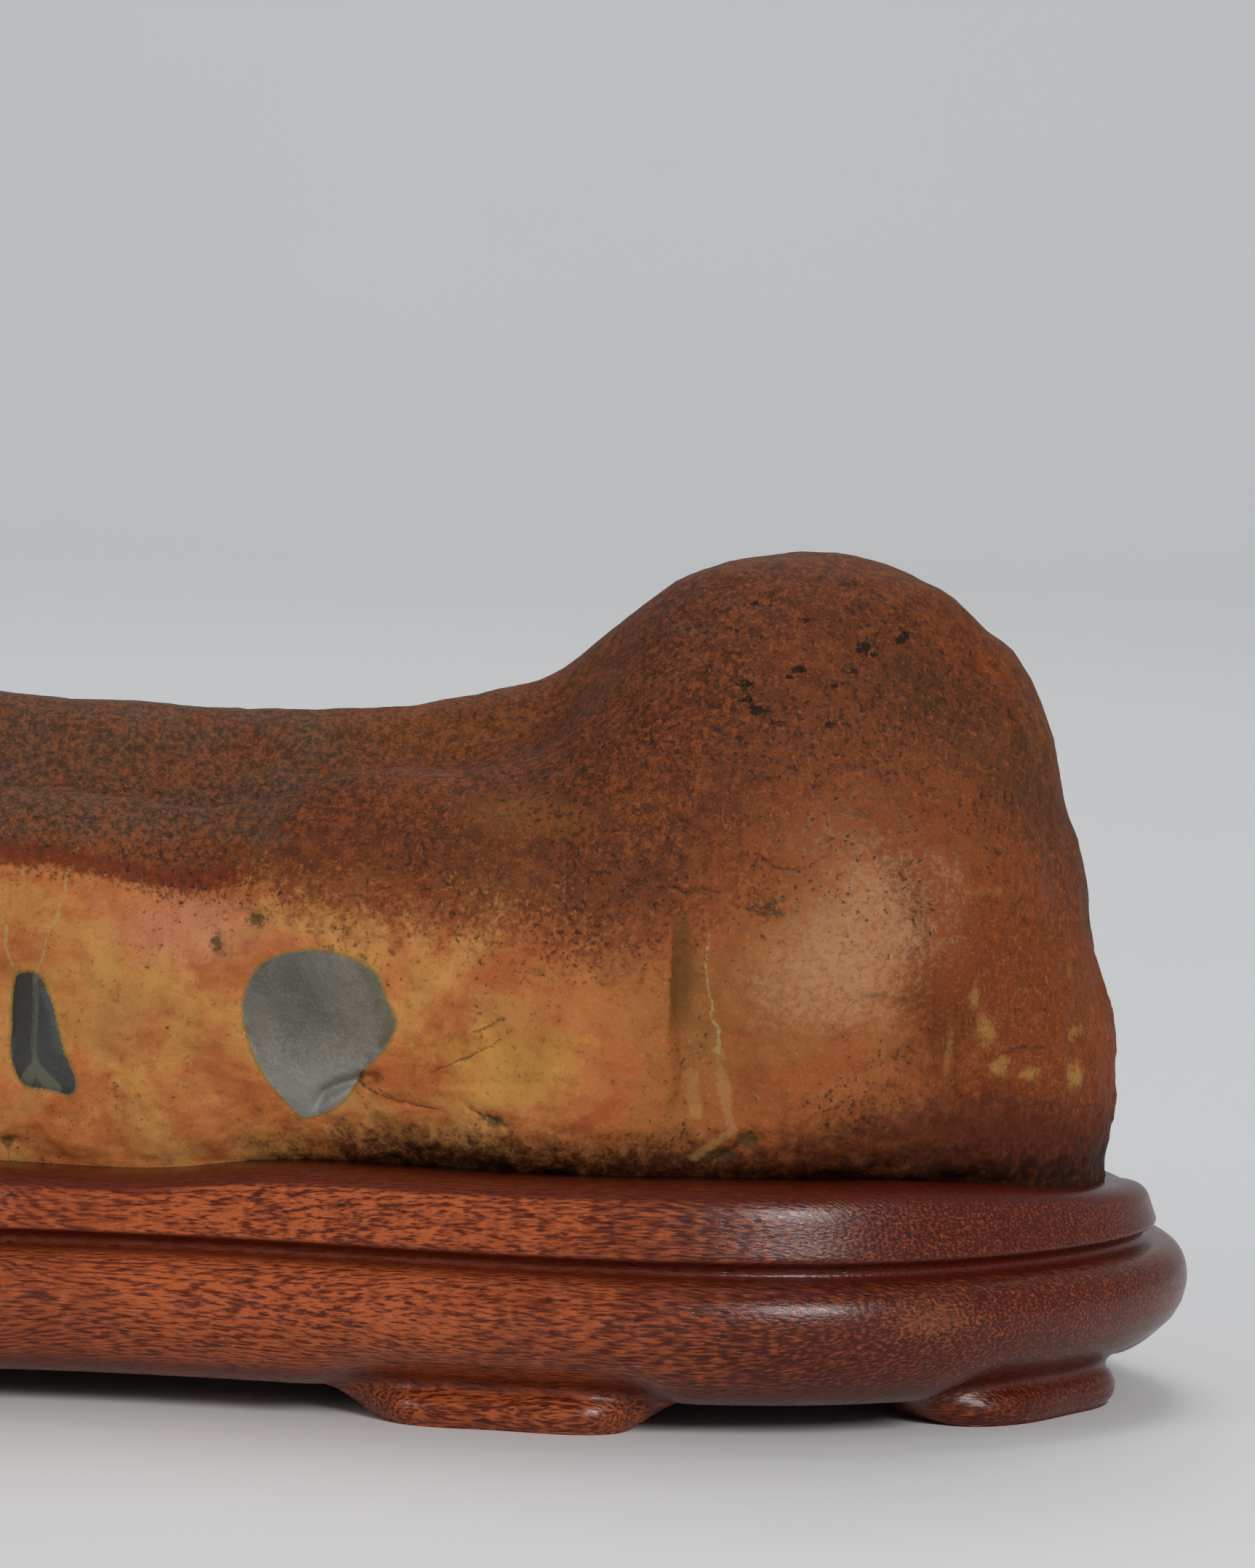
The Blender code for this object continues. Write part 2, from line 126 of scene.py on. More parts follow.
# Slow waves of the worn surface: height, radians per millimetre along X, Y and Z, and start
SLOW_WAVES = (
    (0.35, (0.21, 0.06, 0.0), 1.3),
    (0.30, (0.0, 0.27, 0.13), 2.1),
    (0.25, (-0.19, 0.0, 0.31), 0.4),
)

# Swellings (above zero) and hollows (below zero): middle, how far out, half widths along X, Y, Z
STONE_FORMS = (
    ("hump in front of the basin", (17.5, -12.0, 42.0), 2.8, (7.0, 4.5, 7.0)),
    ("scoop in the brow", (4.5, -16.5, 38.0), -1.6, (4.5, 3.5, 4.0)),
    ("buttress under the dome", (54.0, -22.0, 33.0), 1.5, (9.0, 9.0, 10.0)),
    ("edge of the front face", (35.0, -22.0, 28.0), 0.7, (2.6, 9.0, 8.0)),
    ("belly of the front face", (22.0, -20.0, 26.0), 0.7, (10.0, 8.0, 8.0)),
    ("crease left of the front face", (-9.8, -18.0, 28.5), -1.4, (2.8, 7.0, 7.5)),
    ("dent in the dome's shoulder", (58.5, -13.0, 51.0), -0.8, (4.0, 6.0, 3.0)),
    ("waist of the right end", (70.0, 0.0, 32.0), -0.55, (5.0, 14.0, 4.5)),
    ("neck of the right end", (68.0, -2.0, 43.0), -0.9, (5.0, 14.0, 3.5)),
    ("roll of the right end", (70.0, 0.0, 21.0), 0.6, (5.0, 16.0, 6.0)),
    ("front of the left hill", (-38.0, -16.0, 40.0), 2.2, (10.0, 7.0, 8.0)),
    ("left front swelling", (-27.0, -22.0, 28.0), 1.3, (8.0, 8.0, 9.0)),
    ("left front crease", (-46.0, -20.0, 28.0), -1.8, (4.0, 8.0, 8.0)),
    ("hollow of the back", (10.0, 20.0, 32.0), -2.4, (9.0, 9.0, 12.0)),
    ("swelling of the back", (-24.0, 20.0, 26.0), 1.6, (10.0, 9.0, 9.0)),
    ("groove down the back", (40.0, 19.0, 34.0), -1.4, (3.5, 9.0, 14.0)),
)

# The recess at the right end of the front face: sharp at its left edge, fading to its right
RECESS_EDGE = (37.7, 38.9)
RECESS_FADE = (40.5, 47.0)
RECESS_Z = 28.0
RECESS_HALF_HEIGHT = 8.0
RECESS_DEPTH = 2.0
RECESS_SLANT = 0.06

# The stone's block is sliced this many times along X, Y and Z, and each face is then divided
STONE_CUTS = (18, 9, 7)
STONE_SUBDIVISIONS = 4
# The surface is met along each ray by halving, and its slope is read over a short step
RAY_LENGTH = 60.0
RAY_HALVINGS = 22
SLOPE_STEP = 0.05

# ---------------------------------------------------------------- marks on the stone's front
# Places are (x, z) seen from the front, in millimetres, where nothing else is said.
OUTLINE_STEPS = 6
AGATE_EYE = (
    (8.2, 28.1), (8.7, 30.4), (10.1, 31.9), (12.9, 32.6), (15.5, 32.2), (17.3, 31.3),
    (18.2, 29.4), (18.9, 27.9), (18.2, 26.1), (17.0, 24.7), (16.3, 23.7), (15.3, 22.0),
    (13.8, 21.0), (12.5, 20.8), (11.4, 21.8), (10.1, 23.3), (9.0, 25.2),
)
AGATE_WEDGE = (
    (-8.1, 29.4), (-7.3, 30.0), (-6.4, 29.8), (-5.8, 28.9), (-5.1, 27.0), (-4.5, 24.9),
    (-3.7, 23.2), (-3.45, 22.2), (-3.9, 21.6), (-5.5, 21.9), (-7.2, 22.2), (-8.0, 23.7),
    (-8.2, 26.2),
)
WEDGE_VEINS = (
    ((-6.6, 29.9), (-6.5, 27.9), (-6.55, 25.3), (-6.4, 23.6)),
    ((-7.2, 22.1), (-6.4, 23.6), (-5.0, 22.0)),
)
PALE_VEINS = (
    ((-6.5, 29.9), (-5.8, 32.0), (-5.1, 34.1), (-4.7, 36.3), (-4.5, 37.3)),
    ((-7.9, 29.8), (-8.7, 31.8), (-9.0, 33.9)),
    ((40.6, 34.9), (40.4, 32.3), (40.7, 31.1), (40.95, 29.3), (41.4, 27.6), (41.55, 26.6)),
)
# Pale ridges below the recess, each with its half width
PALE_RIDGES = (
    (((41.6, 26.6), (41.8, 24.6), (42.2, 22.8), (42.6, 21.8)), 0.25),
    (((42.9, 21.4), (41.2, 20.0), (40.0, 19.1)), 0.15),
    (((39.6, 25.0), (40.0, 22.4)), 0.3),
)
NOTCH = ((13.2, 21.5), (14.0, 22.5), (15.0, 23.1), (16.3, 23.6), (17.4, 23.9))
CRACKS = (
    ((16.2, 23.4), (16.6, 24.4), (17.1, 25.3)),
    ((16.2, 23.3), (17.6, 22.8), (19.2, 22.3), (20.7, 21.9), (22.0, 21.9)),
    ((21.4, 24.4), (22.1, 24.8), (23.9, 25.6), (25.2, 26.3), (26.4, 27.1), (26.7, 27.7)),
    ((24.5, 27.4), (25.3, 28.0), (26.3, 28.5)),
    ((24.0, 22.1), (26.3, 21.2), (27.0, 20.9)),
    ((34.6, 38.5), (36.2, 38.0), (38.6, 37.9), (41.2, 37.8)),
    ((43.7, 40.2), (44.7, 39.7), (46.0, 39.4), (47.3, 39.7), (48.5, 40.6), (49.2, 41.8)),
    ((61.5, 26.6), (63.2, 26.9), (64.4, 26.8)),
    ((44.1, 21.1), (43.1, 20.3), (41.6, 19.0), (40.9, 18.5)),
)
# Small chips and pits: (x, z), half width, half height, depth
CHIPS = (
    ((8.7, 34.7), 0.9, 0.6, 0.45), ((6.0, 32.9), 0.6, 1.0, 0.45), ((7.2, 33.6), 0.5, 0.4, 0.2),
    ((-8.3, 17.8), 0.8, 0.5, 0.40), ((26.0, 21.3), 1.2, 0.5, 0.25), ((43.8, 20.6), 0.9, 0.8, 0.35),
    ((41.9, 19.3), 1.4, 0.5, 0.30), ((52.4, 30.7), 1.2, 0.5, 0.2), ((22.0, 33.0), 0.5, 0.3, 0.12),
    ((6.4, 21.9), 0.5, 0.4, 0.15), ((31.0, 24.2), 0.4, 0.3, 0.20),
)
STAINED_CHIP_DEPTH = 0.25
# The olive skin down the dome's right shoulder, with painted shade in the dent along it
RIGHT_SHOULDER = ((54.0, 52.5), (61.0, 47.5), (66.0, 41.0), (69.5, 35.0))
# The valley at the right of the buttress, darkened along with the foot: partly staining, partly
# painted shade
BUTTRESS_VALLEY = ((57.2, 28.5), (55.5, 24.0), (51.0, 19.5))
# Yellow patches near the right end: (x, z), half width, half height
LEMON_PATCHES = (
    ((59.4, 30.6), 0.8, 1.6), ((60.3, 28.2), 1.3, 2.0), ((61.4, 25.6), 1.4, 0.9),
    ((63.6, 25.0), 1.3, 0.7), ((57.6, 26.8), 0.5, 2.8), ((66.6, 32.3), 0.7, 2.2),
    ((60.4, 38.0), 1.8, 0.5), ((67.4, 27.5), 1.2, 0.8), ((67.0, 24.5), 1.0, 1.6),
)
# Black spots on the dome, as (x, y, z) and radius
DOME_SPOTS = (
    ((42.5, -15.8, 52.1), 0.55), ((42.7, -16.4, 51.1), 0.45), ((43.5, -16.7, 50.4), 0.60),
    ((40.2, -15.0, 52.7), 0.45), ((46.3, -15.0, 53.2), 0.50), ((50.9, -13.2, 54.7), 0.60),
    ((51.2, -13.4, 54.2), 0.50), ((49.9, -14.4, 53.0), 0.45), ((53.5, -11.9, 55.2), 0.50),
    ((44.2, -11.6, 57.5), 0.45), ((42.9, -11.3, 57.4), 0.35), ((46.8, -12.7, 56.6), 0.35),
    ((48.5, -16.2, 49.5), 0.40), ((35.8, -17.3, 47.9), 0.45), ((45.6, -15.3, 52.6), 0.35),
    ((48.9, -15.0, 52.2), 0.40), ((54.0, -11.4, 55.7), 0.40), ((44.6, -17.2, 49.6), 0.35),
    ((41.6, -13.6, 55.6), 0.35),
)
# The shape of a spot: its half widths along X, Y and Z for each unit of its radius
DOME_SPOT_SHAPE = (1.3, 3.0, 0.8)

# The edge between the front face and the brown skin over it, as (x, z), and half the width over
# which it fades, as (x, width)
BROW_LINE = (
    (-76.0, 33.0), (-40.0, 37.5), (-12.0, 37.4), (-5.0, 37.2), (-1.0, 36.6), (3.0, 36.0),
    (6.0, 36.2), (9.0, 36.6), (12.0, 36.0), (18.0, 35.4), (26.0, 35.0), (38.0, 34.6),
    (42.0, 37.5), (50.0, 40.5), (58.0, 40.5), (66.0, 37.0), (76.0, 31.0),
)
BROW_FADE = ((-76.0, 1.0), (6.0, 1.0), (14.0, 2.8), (38.0, 3.2), (46.0, 9.0), (76.0, 9.0))
# The darkening at the foot of the front, partly real staining and partly painted shade where the
# stone turns under above the stand's lip: its upper edge as (x, z), and its strength as (x, share)
STAIN_AND_SHADE_EDGE = ((44.0, 17.4), (53.0, 20.6), (61.0, 21.4), (68.0, 19.0))
STAIN_AND_SHADE_SHARE = ((-8.0, 0.0), (7.0, 0.15), (18.0, 1.0))
# Soft patches of colour on the front: zone, (x, z), half width, half height
FRONT_PATCHES = (
    ("smudge", (44.6, 36.8), 2.4, 1.4), ("ochre", (26.5, 25.5), 7.0, 4.0),
    ("pink", (4.0, 33.5), 8.0, 3.5), ("ochre_skin", (28.0, 42.5), 7.0, 2.2),
)
# Lumps of the worn skin: height, how much lower they are under the brown skin, size, octaves and
# the noise's shift
LUMPS = ((0.42, 0.26, 6.0, 3, 11.0), (0.19, 0.10, 1.7, 4, 3.0))
CRACK_DEPTH = 0.16
CRACK_HALF_WIDTH = 0.16
NOTCH_DEPTH = 0.75
NOTCH_HALF_WIDTH = 0.42
EYE_EDGE_DEPTH = 0.05
SPOT_DEPTH = 0.18
# A mark's distance, in mm, where the mark isn't on that side of the stone
FAR_AWAY = 50.0
# How far round a mark the mesh is made finer, in mm
CRACK_MARGIN = 0.5
NOTCH_MARGIN = 1.1
VEIN_MARGIN = 0.4
CHIP_MARGIN = 0.4
OUTLINE_MARGIN = 0.35


def smooth_max(a, b, softness):
    """The larger of a and b, rounded over where they are within softness of each other."""
    overlap = np.maximum(softness - np.abs(a - b), 0.0)
    return np.maximum(a, b) + overlap * overlap / (4.0 * softness)


def smooth_step(low, high, value):
    t = np.clip((value - low) / (high - low), 0.0, 1.0)
    return t * t * (3.0 - 2.0 * t)


def bell(distance, half_width):
    return np.exp(-((distance / half_width) ** 2))


def smooth_curve(points, x):
    """A smooth curve z(x) through points, with slopes taken from each point's neighbours."""
    knots = np.array(points)
    slopes = np.gradient(knots[:, 1], knots[:, 0])
    x = np.clip(x, knots[0, 0], knots[-1, 0])
    i = np.clip(np.searchsorted(knots[:, 0], x) - 1, 0, len(knots) - 2)
    span = knots[i + 1, 0] - knots[i, 0]
    t = (x - knots[i, 0]) / span
    return (
        (2 * t**3 - 3 * t**2 + 1) * knots[i, 1]
        + (t**3 - 2 * t**2 + t) * span * slopes[i]
        + (3 * t**2 - 2 * t**3) * knots[i + 1, 1]
        + (t**3 - t**2) * span * slopes[i + 1]
    )


def chain(points, x):
    """Straight lines z(x) through points."""
    return np.interp(x, *zip(*points))


def curve_inside(knots, steps):
    """A smooth curve through all of the knots but the first and the last."""
    fine = []
    for a, b, c, d in zip(knots, knots[1:], knots[2:], knots[3:]):
        for t in np.arange(steps) / steps:
            fine.append(
                0.5 * (2 * b + (c - a) * t + (2 * a - 5 * b + 4 * c - d) * t**2
                       + (3 * b - a - 3 * c + d) * t**3)
            )
    return np.array(fine)


def rounded_loop(points, steps):
    """A closed smooth curve through points, with steps points from each to the next."""
    knots = np.array(points)
    return curve_inside(np.vstack([knots[-1:], knots, knots[:2]]), steps)


def rounded_profile(points, steps):
    """A smooth open curve through the points of a moulding."""
    knots = np.array(points)
    before, after = 2 * knots[0] - knots[1], 2 * knots[-1] - knots[-2]
    return np.vstack([curve_inside(np.vstack([before, knots, after]), steps), knots[-1:]])


def plan_curve():
    """The plan edge as evenly spaced points, and its outward normals."""
    fine = rounded_loop(PLAN_POINTS, PLAN_CURVE_STEPS)
    fine = np.vstack([fine, fine[:1]])
    along = np.concatenate([[0.0], np.cumsum(np.linalg.norm(np.diff(fine, axis=0), axis=1))])
    even = np.linspace(0.0, along[-1], PLAN_STEPS, endpoint=False)
    points = np.stack([np.interp(even, along, fine[:, k]) for k in (0, 1)], axis=1)
    for _ in range(PLAN_SOFTENINGS):
        points = (np.roll(points, 1, axis=0) + 2 * points + np.roll(points, -1, axis=0)) / 4
    points -= (points.max(axis=0) + points.min(axis=0)) / 2
    tangent = np.roll(points, -1, axis=0) - np.roll(points, 1, axis=0)
    tangent /= np.linalg.norm(tangent, axis=1)[:, None]
    return points, np.stack([tangent[:, 1], -tangent[:, 0]], axis=1)


PLAN, PLAN_NORMALS = plan_curve()


def plan_tables():
    """The plan edge's radius for each angle, and the slant of the edge to that radius."""
    angle = np.arctan2(PLAN[:, 1], PLAN[:, 0])
    radius = np.linalg.norm(PLAN, axis=1)
    slant = (PLAN * PLAN_NORMALS).sum(axis=1) / radius
    order = np.argsort(angle)
    return angle[order], radius[order], slant[order]


PLAN_ANGLE, PLAN_RADIUS, PLAN_SLANT = plan_tables()


def outside_plan(x, y):
    """About how far a point lies outside the plan edge, negative inside it."""
    angle = np.arctan2(y, x)
    radius = np.interp(angle, PLAN_ANGLE, PLAN_RADIUS, period=2 * math.pi)
    slant = np.interp(angle, PLAN_ANGLE, PLAN_SLANT, period=2 * math.pi)
    return (np.hypot(x, y) - radius) * slant


def undulation(x, y, z):
    """The slow unevenness of water-worn stone, in millimetres."""
    return sum(
        height * np.sin(along[0] * x + along[1] * y + along[2] * z + start)
        for height, along, start in SLOW_WAVES
    )


def vault(across):
    """A round vault's height share at a share of its half width, run on straight at its edge."""
    inside = np.clip(across, 0.0, STEEPEST_SHARE)
    height = np.sqrt(1.0 - inside**2)
    return height - (across - inside).clip(0.0) * inside / height


def stone_top(x, y):
    """Height of the stone's upper surface, before its edges are rounded over."""
    crest = smooth_curve(SKYLINE, x)
    ahead = CREST_Y - y
    basin = crest - smooth_curve(BASIN_SLOPE, ahead)
    dome = DOME_SIDE_Z + (crest - DOME_SIDE_Z) * vault(ahead / DOME_DEPTH)
    front = basin + (dome - basin) * smooth_step(DOME_FROM_X, DOME_TO_X, x)
    back = BACK_SIDE_Z + (crest - BACK_SIDE_Z) * vault(-ahead / BACK_DEPTH)
    return np.where(ahead > 0, front, back)


def stone_side(x, y, z):
    """About how far a point lies outside the stone's side wall."""
    right_end = bell(np.arctan2(y, x), RIGHT_END_HALF_ANGLE) * (x > 0)
    inset = STONE_INSET + (STONE_INSET_RIGHT_END - STONE_INSET) * right_end
    below = np.clip((UNDERCUT_FROM_Z - z) / UNDERCUT_HEIGHT, 0.0, UNDERCUT_END)
    above = np.clip((z - STONE_WIDEST_Z) / LEAN_HEIGHT, 0.0, None)
    undercut = STONE_UNDERCUT * smooth_curve(UNDERCUT_SHARE, x) * (1.0 - np.sqrt(1.0 - below**2))
    return outside_plan(x, y) + inset + undercut + WALL_LEAN * above**LEAN_POWER


def stone_relief(x, y, z):
    """How far the named swellings and hollows move the surface outwards."""
    relief = undulation(x, y, z)
    for _, middle, outwards, half in STONE_FORMS:
        near = ((x - middle[0]) / half[0]) ** 2 + ((y - middle[1]) / half[1]) ** 2
        relief = relief + outwards * np.exp(-near - ((z - middle[2]) / half[2]) ** 2)
    slanted = x - RECESS_SLANT * (RECESS_Z - z)
    recess = smooth_step(*RECESS_EDGE, slanted) * (1.0 - smooth_step(*RECESS_FADE, slanted))
    recess = recess * bell(z - RECESS_Z, RECESS_HALF_HEIGHT) * (y < 0.0)
    return relief - RECESS_DEPTH * recess


def stone_field(x, y, z):
    """Below zero inside the stone and above zero outside it."""
    height = stone_top(x, y)
    slope_x = (stone_top(x + SLOPE_STEP, y) - height) / SLOPE_STEP
    slope_y = (stone_top(x, y + SLOPE_STEP) - height) / SLOPE_STEP
    top = (z - height) / np.sqrt(1.0 + slope_x**2 + slope_y**2)
    dome = smooth_step(DOME_FROM_X, DOME_TO_X, x)
    behind = smooth_step(*SHOULDER_BEHIND_Y, y)
    rounded = np.maximum(dome, behind)
    softness = BROW_SOFTNESS + (SHOULDER_SOFTNESS - BROW_SOFTNESS) * rounded
    body = smooth_max(stone_side(x, y, z), top, softness) - stone_relief(x, y, z)
    return smooth_max(body, STONE_BASE_Z - z, STONE_EDGE_BASE)


def reach(start, direction, limit, field):
    """How far each ray from start goes along direction before field turns positive."""
    near = np.zeros(len(start))
    far = np.full(len(start), limit)
    for _ in range(RAY_HALVINGS):
        middle = (near + far) / 2
        point = start + direction * middle[:, None]
        outside = field(point[:, 0], point[:, 1], point[:, 2]) > 0
        far = np.where(outside, middle, far)
        near = np.where(outside, near, middle)
    return (near + far) / 2


# ---------------------------------------------------------------- the stone's mesh
def sliced_block(cuts, subdivisions):
    """A two-unit cube sliced into a grid of faces, as a bmesh."""
    block = bmesh.new()
    bmesh.ops.create_cube(block, size=2.0)
    for count, normal in zip(cuts, np.eye(3)):
        for place in np.linspace(-1.0, 1.0, count + 1)[1:-1]:
            everything = block.verts[:] + block.edges[:] + block.faces[:]
            bmesh.ops.bisect_plane(block, geom=everything, plane_co=Vector(normal * place),
                                   plane_no=Vector(normal))
    bmesh.ops.subdivide_edges(block, edges=block.edges[:], cuts=subdivisions, use_grid_fill=True)
    return block


def project_to_stone(block_points):
    """Moves the points of the sliced block out along rays onto the stone's surface."""
    cube = np.clip(block_points, -1.0, 1.0)
    square = cube**2
    others = np.roll(square, -1, axis=1), np.roll(square, 1, axis=1)
    ball = cube * np.sqrt(1.0 - others[0] / 2 - others[1] / 2 + others[0] * others[1] / 3)
    start = np.zeros_like(ball)
    start[:, 0] = STONE_CORE_HALF_LENGTH * ball[:, 0] * (1.5 - 0.5 * ball[:, 0] ** 2)
    start[:, 2] = STONE_CORE_Z
    return start + ball * reach(start, ball, RAY_LENGTH, stone_field)[:, None]


def stone_normals(points):
    """Outward unit normals of the stone's surface."""
    here = stone_field(*points.T)
    steps = np.eye(3) * SLOPE_STEP
    slope = np.stack([stone_field(*(points + step).T) - here for step in steps], axis=1)
    return slope / np.linalg.norm(slope, axis=1)[:, None]


def refine(block, chosen):
    """Divides each face of the block for which chosen(middle points of faces, in mm) is true."""
    block.faces.ensure_lookup_table()
    middles = np.array([face.calc_center_median()[:] for face in block.faces])
    picked = chosen(project_to_stone(middles))
    edges = {edge for face, wanted in zip(block.faces, picked) if wanted for edge in face.edges}
    bmesh.ops.subdivide_edges(block, edges=list(edges), cuts=1, use_grid_fill=True)


def uneven(points, size, octaves, shift):
    """Fractal noise about zero at each point, with its largest lumps about size mm across."""
    scaled = points / size + shift
    return np.array([noise.fractal(Vector(p), 0.9, 2.0, octaves) for p in scaled])


def distance_to_line(x, z, line):
    """How far each place seen from the front is from a chain of points."""
    nearest = np.full(len(x), 1e3)
    for (x0, z0), (x1, z1) in zip(line, line[1:]):
        along_x, along_z = x1 - x0, z1 - z0
        share = ((x - x0) * along_x + (z - z0) * along_z) / (along_x**2 + along_z**2)
        share = np.clip(share, 0.0, 1.0)
        gap = np.hypot(x - x0 - share * along_x, z - z0 - share * along_z)
        nearest = np.minimum(nearest, gap)
    return nearest


def distance_to_lines(x, z, lines):
    """How far each place is from the nearest of several chains of points."""
    return np.minimum.reduce([distance_to_line(x, z, line) for line in lines])


def oval(x, z, middle, wide, high):
    """The distance from middle, as a share of the oval's half width and half height."""
    return np.hypot((x - middle[0]) / wide, (z - middle[1]) / high)


def oval_spots(x, z, ovals):
    """One in the middle of each oval, fading to zero outside them."""
    return np.max([bell(oval(x, z, *each[:3]), 1.0) for each in ovals], axis=0)


def inside_outline(x, z, outline):
    """How far each place seen from the front is inside a rounded outline, negative outside it."""
    loop = rounded_loop(outline, OUTLINE_STEPS)
    loop = np.vstack([loop, loop[:1]])
    inside = np.zeros(len(x), bool)
    for (x0, z0), (x1, z1) in zip(loop, loop[1:]):
        crosses = (z0 > z) != (z1 > z)
        inside ^= crosses & (x < x0 + (z - z0) * (x1 - x0) / (z1 - z0 + 1e-9))
    return np.where(inside, 1.0, -1.0) * distance_to_line(x, z, loop)


def on_front(points):
    return smooth_step(-6.0, -9.0, points[:, 1])


def crack_gap(points):
    """Distance to the nearest crack, in mm."""
    x = points[:, 0] + 0.3 * uneven(points, 1.2, 2, 21.0)
    z = points[:, 2] + 0.3 * uneven(points, 1.2, 2, 31.0)
    return distance_to_lines(x, z, CRACKS) + (1.0 - on_front(points)) * FAR_AWAY


def near_details(points):
    """Where the stone's front has a mark finer than its mesh."""
    x, z = points[:, 0], points[:, 2]
    near = crack_gap(points) < CRACK_MARGIN
    near |= distance_to_line(x, z, NOTCH) < NOTCH_MARGIN
    near |= distance_to_lines(x, z, PALE_VEINS) < VEIN_MARGIN
    for outline in (AGATE_EYE, AGATE_WEDGE):
        near |= np.abs(inside_outline(x, z, outline)) < OUTLINE_MARGIN
    for middle, wide, high, _ in CHIPS:
        near |= oval(x, z, middle, wide + CHIP_MARGIN, high + CHIP_MARGIN) < 1.0
    return near & (points[:, 1] < -8.0)


def spots_on_dome(points):
    """One in the middle of a black spot and zero outside the spots."""
    share = np.zeros(len(points))
    for middle, radius in DOME_SPOTS:
        gap = (points - np.array(middle)) / (radius * np.array(DOME_SPOT_SHAPE))
        share = np.maximum(share, bell(np.linalg.norm(gap, axis=1), 1.0))
    return share


def small_relief(points, zones):
    """How far water, knocks and cracks move each point of the stone's skin, in mm."""
    x, z = points[:, 0], points[:, 2]
    front = on_front(points)
    patina = np.clip(zones["patina"], 0.0, 1.0)
    relief = sum((height - lower * patina) * uneven(points, *lump)
                 for height, lower, *lump in LUMPS)
    relief *= 1.0 - 0.75 * smooth_step(-0.2, 0.3, zones["agate"])
    crack = bell(crack_gap(points), CRACK_HALF_WIDTH)
    relief -= CRACK_DEPTH * crack * (0.65 + uneven(points, 0.9, 1, 5.0))
    notch = distance_to_line(x, z, NOTCH) * front + 5.0 * (1.0 - front)
    relief -= NOTCH_DEPTH * bell(notch, NOTCH_HALF_WIDTH) * smooth_step(12.9, 14.0, x)
    relief -= EYE_EDGE_DEPTH * bell(zones["agate"], 0.2)
    for middle, wide, high, depth in CHIPS:
        relief -= front * depth * bell(oval(x, z, middle, wide, high), 1.0)
    return relief - SPOT_DEPTH * zones["spots"]


